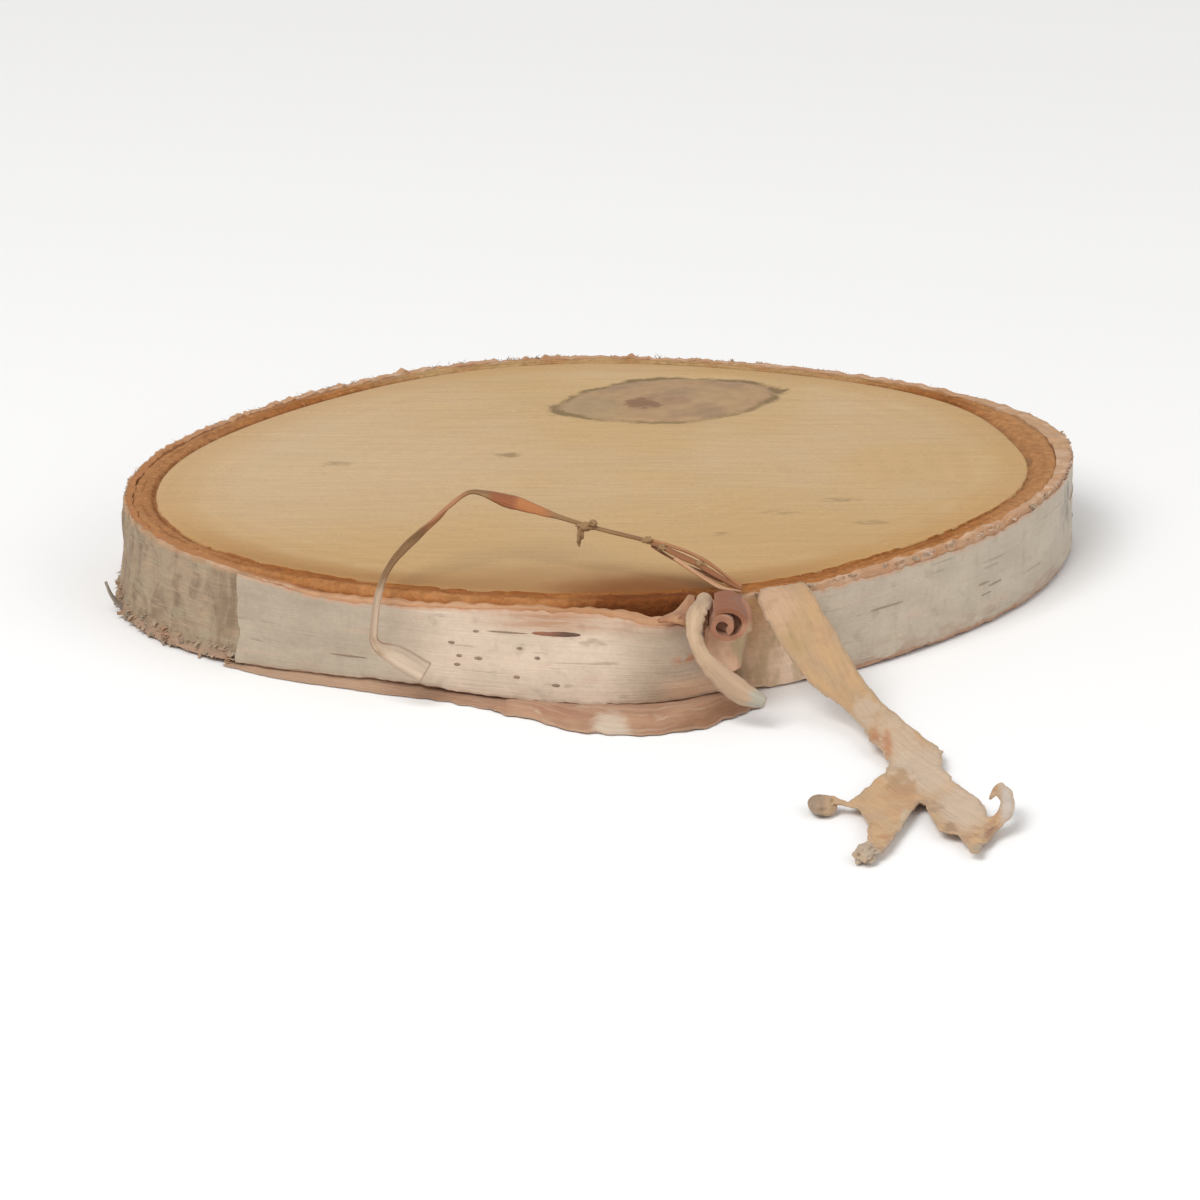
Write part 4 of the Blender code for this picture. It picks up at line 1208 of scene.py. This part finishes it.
def make_outer_bark():
    """The torn sheet, and the white paper on it in two stretches with the bare panel between them."""

    def sheet_wall(turn):
        return outer_wall(turn) - 0.05

    def paper_wall(turn):
        return PAPER_THICKNESS

    sheet = bark_layer("bark_sheet", (SHEET_START, SHEET_END), -SHEET_SUNK, sheet_wall, sheet_top, sheet_low)
    roughen(sheet, 0.16, 1.1)
    finish_piece(sheet, bark_sheet_finish(), "outer_bark", "outer_bark")
    white = white_paper_finish()
    for name, stretch, tear in (
        ("white_paper_right", RIGHT_PAPER, RIGHT_TEAR),
        ("white_paper_left", LEFT_PAPER, LEFT_TEAR),
    ):
        paper = bark_layer(name, stretch, PAPER_LIFT, paper_wall, paper_top, paper_low, tear)
        roughen(paper, 0.06, 1.5)
        finish_piece(paper, white, "outer_bark")


def make_slits(dice):
    """Dark slits and dots on the white paper, each a flat boat-shaped ridge with pointed ends."""

    def boat(turn, height, half_long, half_high):
        def place(along, over, out):
            here = turn + math.degrees(along * half_long / rim_radius(turn))
            up = height + over * half_high * (1.0 + 0.3 * chance(3.0 * along, turn, height))
            radius = sheet_radius(here, up / SLICE_HEIGHT) + PAPER_LIFT + sheet_swell(here, up)
            return around(here, radius + out * SLIT_RIDGE, up)

        return place

    rows = [(turn_where(x, 270.0), *size) for x, *size in FLAP_SLITS]
    rows += [(turn_where(x, -55.0), *size) for x, *size in RIGHT_SLITS]
    for _ in range(BACK_SLITS):
        turn, height = dice.uniform(*BACK_SLIT_TURNS), dice.uniform(1.5, 9.0)
        rows.append((turn, height, dice.choice(BACK_SLIT_LENGTHS), dice.uniform(0.10, 0.17)))
    ball = fresh("bark_slits", bpy.ops.mesh.primitive_uv_sphere_add, segments=14, ring_count=8, radius=1.0)
    finish_piece(repeated(ball, rows, boat), slit_finish(), "outer_bark")


def drawn(dice, least, spread, power=1.0):
    """A number drawn at random, from the least one upwards: large ones are rarer for a higher power."""
    return least + spread * dice.random() ** power if spread else least


def make_fibres(finish, dice):
    """Short torn fibres on the back rim and at the left foot, each a bent tapering spike."""

    def spike(turn, height, length, climb):
        root = around(turn, sheet_radius(turn, height / SLICE_HEIGHT) - FIBRE_SUNK, height)
        side = around(turn + 90.0, 1.0, 0.0).normalized()
        sway, droop = dice.uniform(-0.9, 0.9), dice.uniform(-0.7, 0.7)
        lean, thick = dice.uniform(-1.1, 1.1), dice.uniform(0.03, 0.07)
        out = (around(turn, 1.0, climb).normalized() + side * lean).normalized()
        up = out.cross(side).normalized()

        def place(x, y, z):
            along, round_it = x + 0.5, math.tau * (y + 0.5)
            middle = out * along + (side * sway + up * droop) * along * along
            girth = (side * math.cos(round_it) + up * math.sin(round_it)) * thick * (1.0 - 0.85 * along)
            return root + (middle * length + girth) * MM

        return place

    roots = []
    for count, first, last, low, high, shortest, longest in FIBRES:
        for _ in range(count):
            length = drawn(dice, shortest, longest - shortest, 5)
            climb = dice.uniform(0.1, 1.2) if low > SLICE_HEIGHT / 2 else dice.uniform(-0.6, 0.1)
            roots.append((dice.uniform(first, last), dice.uniform(low, high), length, climb))
    leaf = fresh("torn_fibres", bpy.ops.mesh.primitive_grid_add, x_subdivisions=4, y_subdivisions=4, size=1.0)
    fibres = repeated(leaf, roots, spike)
    close_seams(fibres)
    finish_piece(fibres, finish, "outer_bark")


def make_scales(finish, dice):
    """Small torn scales of bark on the rim and the left foot, each with a ragged, curled free end."""

    def scale(turn, height, length, climb, width, number):
        root = around(turn, sheet_radius(turn, height / SLICE_HEIGHT) - SCALE_SUNK, height)
        side = around(turn + 90.0, 1.0, dice.uniform(-0.4, 0.4)).normalized()
        out = (around(turn, 1.0, climb).normalized() + side * dice.uniform(-0.5, 0.5)).normalized()
        up = out.cross(side).normalized()
        curl = dice.uniform(-0.9, 0.9)

        def place(x, y, z):
            along, over = x + 0.5, 2.0 * y
            ragged = 1.0 + 0.45 * chance(2.3 * over, 5.1 * number, 70.0)
            spot = out * along * ragged * length + side * over * (1.0 - 0.45 * along) * width / 2
            spot += up * (curl * along * along * length + 0.2 * over * over * width)
            return root + spot * MM

        return place

    roots = []
    for count, turns, *draws in SCALES:
        for _ in range(count):
            roots.append((dice.uniform(*turns), *(drawn(dice, *draw) for draw in draws), len(roots)))
    leaf = fresh("torn_scales", bpy.ops.mesh.primitive_grid_add, x_subdivisions=3, y_subdivisions=3, size=1.0)
    scales = repeated(leaf, roots, scale)
    thicken(scales, SCALE_THICKNESS)
    finish_piece(scales, finish, "outer_bark")


def make_torn_edges(dice):
    """What the sheet's edges are torn into: one curled shred, fibres and scales."""
    shred = torn_paper_finish("grey_shred")
    make_ribbon("curled_shred", SHRED_ROUTE, shred, 0.28, 0.4, "outer_bark", seed=21.0)
    finish = fibre_finish()
    make_fibres(finish, dice)
    make_scales(finish, dice)


# The torn layers and ribbons


def make_peeled_lip():
    """The layer bent out onto the table below the flap."""
    start, end = LIP_STRETCH

    def place(along, over):
        angle = start + (end - start) * along
        inner = rim_radius(angle) - LIP_EDGE
        reach = LIP_EDGE + LIP_REACH * hump(angle, LIP_CREST_ANGLE, LIP_SPREAD)
        ragged = 0.6 * wave(angle, 1.2, 31.0) + 0.7 * wave(angle, 4.0, 33.0)
        outer = rim_radius(angle) + reach + ragged * min(1.0, reach / 3.0)
        clear = rim_radius(angle) + FLAP_FOOT_BOW
        radius = inner + (outer - inner) * over
        past = max(0.0, radius - clear) / max(outer - clear, 1.0)
        rise = 0.25 + 0.85 * hump(angle, -125.0, 15.0) + 0.5 * hump(angle, -76.0, 5.0)
        height = 0.08 + rise * (1.0 - over) ** 1.6
        bent = ease((outer - clear) / 2.5)
        height += bent * LIP_SWELL * math.sin(math.pi * min(past, 1.0) ** 0.8)
        height += bent * past * (0.35 * wave(angle, 3.0, 35.0) + 0.15 * wave(angle, 1.1, 36.0, radius))
        return around(angle, radius, max(0.06, height))

    lip = laid_grid("bent_out_lip", *LIP_GRID, place)
    note_run(lip, 58.0, 8.0)
    thicken(lip, LIP_THICKNESS, 1.0)
    roughen(lip, 0.14, 1.0)
    finish_piece(lip, torn_paper_finish("peeled_layer"), "peeled_lip", "peeled_lip")


def make_ribbon(name, route, finish, thickness, cup, slot, *nodes, frayed=0.12, seed=0.0):
    """A torn ribbon laid along its route, cupped across its width, with frayed edges."""
    rows = [[*middle, half_width, *width_way] for middle, half_width, width_way in route]
    length = sum((Vector(a[0]) - Vector(b[0])).length for a, b in zip(route, route[1:]))

    def place(along, over):
        x, y, z, half_width, *width_way = blend_rows(rows, along)
        ahead = Vector(blend_rows(rows, min(along + 0.01, 1.0))[:3])
        behind = Vector(blend_rows(rows, max(along - 0.01, 0.0))[:3])
        tangent = (ahead - behind).normalized()
        side = Vector(width_way)
        side = (side - tangent * side.dot(tangent)).normalized()
        lift = tangent.cross(side)
        across = 2.0 * over - 1.0
        fray = 1.0 + frayed * chance(along * length / 0.7, 3.0 * round(over), seed)
        raised = cup * half_width * (across * across - 0.4)
        raised += 0.12 * chance(along * length / 2.0, across, seed + 5.0)
        return (Vector((x, y, z)) + side * half_width * across * fray + lift * raised) * MM

    ribbon = laid_grid(name, RIBBON_STEPS * (len(route) - 1), RIBBON_ROWS, place)
    note_run(ribbon, length, 2.0)
    thicken(ribbon, thickness)
    modify(ribbon, "SUBSURF", levels=1, render_levels=1)
    finish_piece(ribbon, finish, slot, *nodes)


def shifted(route, shift, width):
    """A stretch of a route moved aside, with a share of its width, for a strand beside the ribbon."""
    rows = []
    for number, (middle, half_width, width_way) in enumerate(route):
        away = math.sin(math.pi * (number + 0.35) / len(route))
        moved = tuple(place + step * away for place, step in zip(middle, shift))
        rows.append((moved, half_width * width, width_way))
    return rows


def lump(middle, size, lumpy, fineness, seed):
    """Turns a ball into a lump: says where each place on it goes."""

    def place(*spot):
        ball = Vector(spot)
        swollen = ball * (1.0 + lumpy * noise.noise(ball * fineness + Vector((seed, 0.0, 0.0))))
        return Vector([m + s * way for m, s, way in zip(middle, size, swollen)]) * MM

    return place


def make_looped_strip():
    """The looped ribbon, and the thin strands beside its root."""
    rust = torn_paper_finish("rust_bark")
    make_ribbon("looped_ribbon", LOOP_ROUTE, rust, 0.22, 0.5, "looped_strip", "looped_strip")
    for number, (name, first, last, shift, width) in enumerate(STRANDS):
        finish = torn_paper_finish(name + "_bark")
        route = shifted(LOOP_ROUTE[first:last], shift, width)
        make_ribbon(name, route, finish, 0.2, 0.4, "looped_strip", seed=11.0 + number)


def make_bark_curl():
    """The pale curl that hangs over the flap, and its root across the crease."""
    cream = torn_paper_finish("cream_curl")
    make_ribbon("pale_curl", CURL_ROUTE, cream, 0.26, -0.7, "bark_curl", "bark_curl", seed=3.0, frayed=0.2)
    root = torn_paper_finish("curl_root_bark")
    make_ribbon("curl_root", CURL_ROOT_ROUTE, root, 0.24, -0.3, "bark_curl", seed=31.0, frayed=0.15)


def make_rolled_tongue():
    """The brown layer: its tongue hangs over the rim, and above it is rolled up on itself."""
    slot = "rolled_tongue"
    brown = torn_paper_finish("brown_tongue")
    make_ribbon("rolled_back_tongue", TONGUE_ROUTE, brown, 0.28, -0.35, slot, "rolled_tongue", seed=6.0)

    def place(along, over):
        bend = SCROLL_FIRST_BEND - math.tau * SCROLL_TURNS * along
        radius = SCROLL_RADIUS - SCROLL_TIGHTENS * along + 0.2 * chance(3.0 * along, 2.0 * over, 80.0)
        ragged = 0.35 * chance(5.0 * along, 9.0, 81.0) * round(over)
        x = SCROLL_MIDDLE[0] + radius * math.cos(bend) - 0.6 * along
        z = SCROLL_MIDDLE[2] + 0.85 * radius * math.sin(bend) - 0.5 * over
        y = SCROLL_MIDDLE[1] + SCROLL_LENGTH * (0.5 - over) + ragged - 0.9 * along * over
        return Vector((x, y, z)) * MM

    scroll = laid_grid("bark_scroll", *SCROLL_GRID, place)
    note_run(scroll, 12.0, SCROLL_LENGTH)
    thicken(scroll, SCROLL_THICKNESS)
    finish_piece(scroll, torn_paper_finish("brown_scroll"), slot)


def make_torn_knots(dice):
    """The small torn knots where the loop's strands part, with a bit hanging from one of them."""

    def torn_knot(x, y, z, wide, tall):
        return lump((x, y, z), (wide, KNOT_DEPTH, tall), 0.6, 1.6, dice.uniform(0.0, 90.0))

    ball = fresh("torn_knots", bpy.ops.mesh.primitive_ico_sphere_add, subdivisions=3, radius=1.0)
    finish_piece(repeated(ball, KNOTS, torn_knot), torn_paper_finish("thread_bark"), "looped_strip")


def fork_floor(x, y):
    """The underside of the forked ribbon: down from the rim in a smooth fall, then along the table."""
    run = max(0.0, FORK_FALL_FROM - y)
    fall = math.exp(-((run / FORK_FALL) ** FORK_FALL_POWER))
    ripple = 0.20 + 0.30 * chance(x / 5.0, y / 5.0, 40.0)
    hook = 0.0
    if y < HOOK_BELOW and x > HOOK_FROM[0]:
        away = x - HOOK_FROM[0]
        hook = min(1.0, away / 0.8) * (HOOK_RISE[0] * away + HOOK_RISE[1] * max(0.0, y - HOOK_FROM[1]))
    return (SLICE_HEIGHT + 0.25) * fall + max(0.05, ripple) * (1.0 - fall) + hook


def edge_distance(x, y, outline):
    """How far a point is from the nearest stretch of an outline."""
    nearest = math.inf
    for (ax, ay), (bx, by) in zip(outline, outline[1:] + outline[:1]):
        dx, dy = bx - ax, by - ay
        share = max(0.0, min(1.0, ((x - ax) * dx + (y - ay) * dy) / (dx * dx + dy * dy)))
        nearest = min(nearest, math.hypot(x - ax - dx * share, y - ay - dy * share))
    return nearest


def torn_outline():
    """The forked ribbon's outline from above, rounded between its corners and ragged from there."""
    rows = [*FORK_OUTLINE, FORK_OUTLINE[0]]
    count = FORK_SMOOTHING * len(FORK_OUTLINE)
    outline = []
    for number in range(count):
        x, y = blend_rows(rows, number / count)
        ragged = 0.14 + 0.24 * ease((-46.0 - y) / 6.0) * ease(37.0 - x)
        aside, ahead = (ragged * chance(x / 0.9, y / 0.9, layer) for layer in (50.0, 53.0))
        outline.append((x + aside, y + ahead))
    return outline


def slice_across(axis, levels):
    """Cuts the piece in hand straight across at each of these levels, so that it can bend there."""
    way = Vector((0.0, 0.0, 0.0))
    way[axis] = 1.0
    for level in levels:
        bpy.ops.mesh.select_all(action="SELECT")
        bpy.ops.mesh.bisect(plane_co=way * level * MM, plane_no=way, threshold=0.002 * MM)


def make_forked_strip():
    """The ribbon that hangs from the rim and forks: a flat torn outline, cut up and bent down."""
    outline = torn_outline()
    add = bpy.ops.mesh.primitive_circle_add
    strip = fresh("forked_ribbon", add, vertices=len(outline), radius=1.0, fill_type="NGON")
    for vertex, (x, y) in zip(strip.data.vertices, outline):
        vertex.co = Vector((x, y, 0.0)) * MM
    choose(strip)
    bpy.ops.object.mode_set(mode="EDIT")
    for axis in (0, 1):
        low, high = min(corner[axis] for corner in outline), max(corner[axis] for corner in outline)
        cuts = math.ceil((high - low) / FORK_CELL)
        slice_across(axis, [low + FORK_CELL * number for number in range(1, cuts)])
    bpy.ops.mesh.select_all(action="SELECT")
    bpy.ops.mesh.quads_convert_to_tris(quad_method="BEAUTY", ngon_method="BEAUTY")
    bpy.ops.object.mode_set(mode="OBJECT")
    edges = []
    for vertex in strip.data.vertices:
        x, y = vertex.co.x / MM, vertex.co.y / MM
        inset = edge_distance(x, y, outline)
        edges.append(inset)
        far = ease((-44.0 - y) / 8.0)
        curl = FORK_CURL * math.exp(-inset / FORK_CURL_WIDTH)
        curl *= 0.675 + 0.325 * chance(x / 6.0, y / 6.0, 60.0)
        curl *= 0.2 if y > -40.0 else 1.0 + 0.7 * far
        crumple = FORK_CRUMPLE * far * abs(chance(x / 2.1, y / 2.9, 62.0))
        vertex.co.z = (fork_floor(x, y) + curl + crumple) * MM
    keep(strip, "edge", edges)
    note(strip, "along", lambda co: -co.y * 0.9 + co.x * 0.45)
    note(strip, "over", lambda co: co.x * 0.9 + co.y * 0.45)
    thicken(strip, FORK_THICKNESS, 1.0)
    modify(strip, "SUBSURF", levels=1, render_levels=1)
    peach = forked_ribbon_finish()
    finish_piece(strip, peach, "forked_strip", "forked_strip")
    add = bpy.ops.mesh.primitive_ico_sphere_add
    for number, size in enumerate(BUDS, 1):
        bud = fresh("torn_bud_" + str(number), add, subdivisions=4, radius=1.0)
        place = lump(*size)
        for vertex in bud.data.vertices:
            vertex.co = place(*vertex.co)
        finish_piece(bud, peach, "forked_strip")


# The set


def make_stage():
    """A pale floor, a soft room light and two soft lamps that face the slice."""
    floor = fresh("floor", bpy.ops.mesh.primitive_plane_add, size=4.0, location=(0.0, 0.0, -0.0001))
    pale = bpy.data.materials.new("pale_floor")
    pale.use_nodes = True
    shader = pale.node_tree.nodes["Principled BSDF"]
    shader.inputs["Base Color"].default_value = FLOOR_COLOUR
    shader.inputs["Roughness"].default_value = 0.9
    floor.data.materials.append(pale)
    room = bpy.data.worlds.new("studio")
    room.use_nodes = True
    room.node_tree.nodes["Background"].inputs["Color"].default_value = ROOM_COLOUR
    room.node_tree.nodes["Background"].inputs["Strength"].default_value = ROOM_LIGHT
    bpy.context.scene.world = room
    bpy.context.scene.view_settings.view_transform = "Standard"
    for name, place, size, power in LAMPS:
        lamp = fresh(name, bpy.ops.object.light_add, type="AREA", location=place)
        lamp.data.size = size
        lamp.data.energy = power
        lamp.rotation_euler = (-Vector(place)).to_track_quat("-Z", "Y").to_euler()


def make_camera():
    """Looks down at the slice as the photo does."""
    lens = bpy.data.cameras.new("camera")
    lens.sensor_width = 36.0
    lens.lens = lens.sensor_width * VIEW_DISTANCE / VIEW_WIDTH
    lens.clip_start = 0.01
    camera = bpy.data.objects.new("camera", lens)
    bpy.context.scene.collection.objects.link(camera)
    rise = math.radians(VIEW_ELEVATION)
    away = Vector((0.0, -math.cos(rise), math.sin(rise)))
    camera.location = (Vector(VIEW_TARGET) + away * VIEW_DISTANCE) * MM
    camera.rotation_euler = (-away).to_track_quat("-Z", "Y").to_euler()
    bpy.context.scene.camera = camera


def main():
    dice = random.Random(SEED)
    make_sawn_wood()
    make_inner_bark()
    make_outer_bark()
    make_peeled_lip()
    make_forked_strip()
    make_looped_strip()
    make_bark_curl()
    make_rolled_tongue()
    make_torn_knots(dice)
    make_slits(dice)
    make_torn_edges(dice)
    make_stage()
    make_camera()


main()
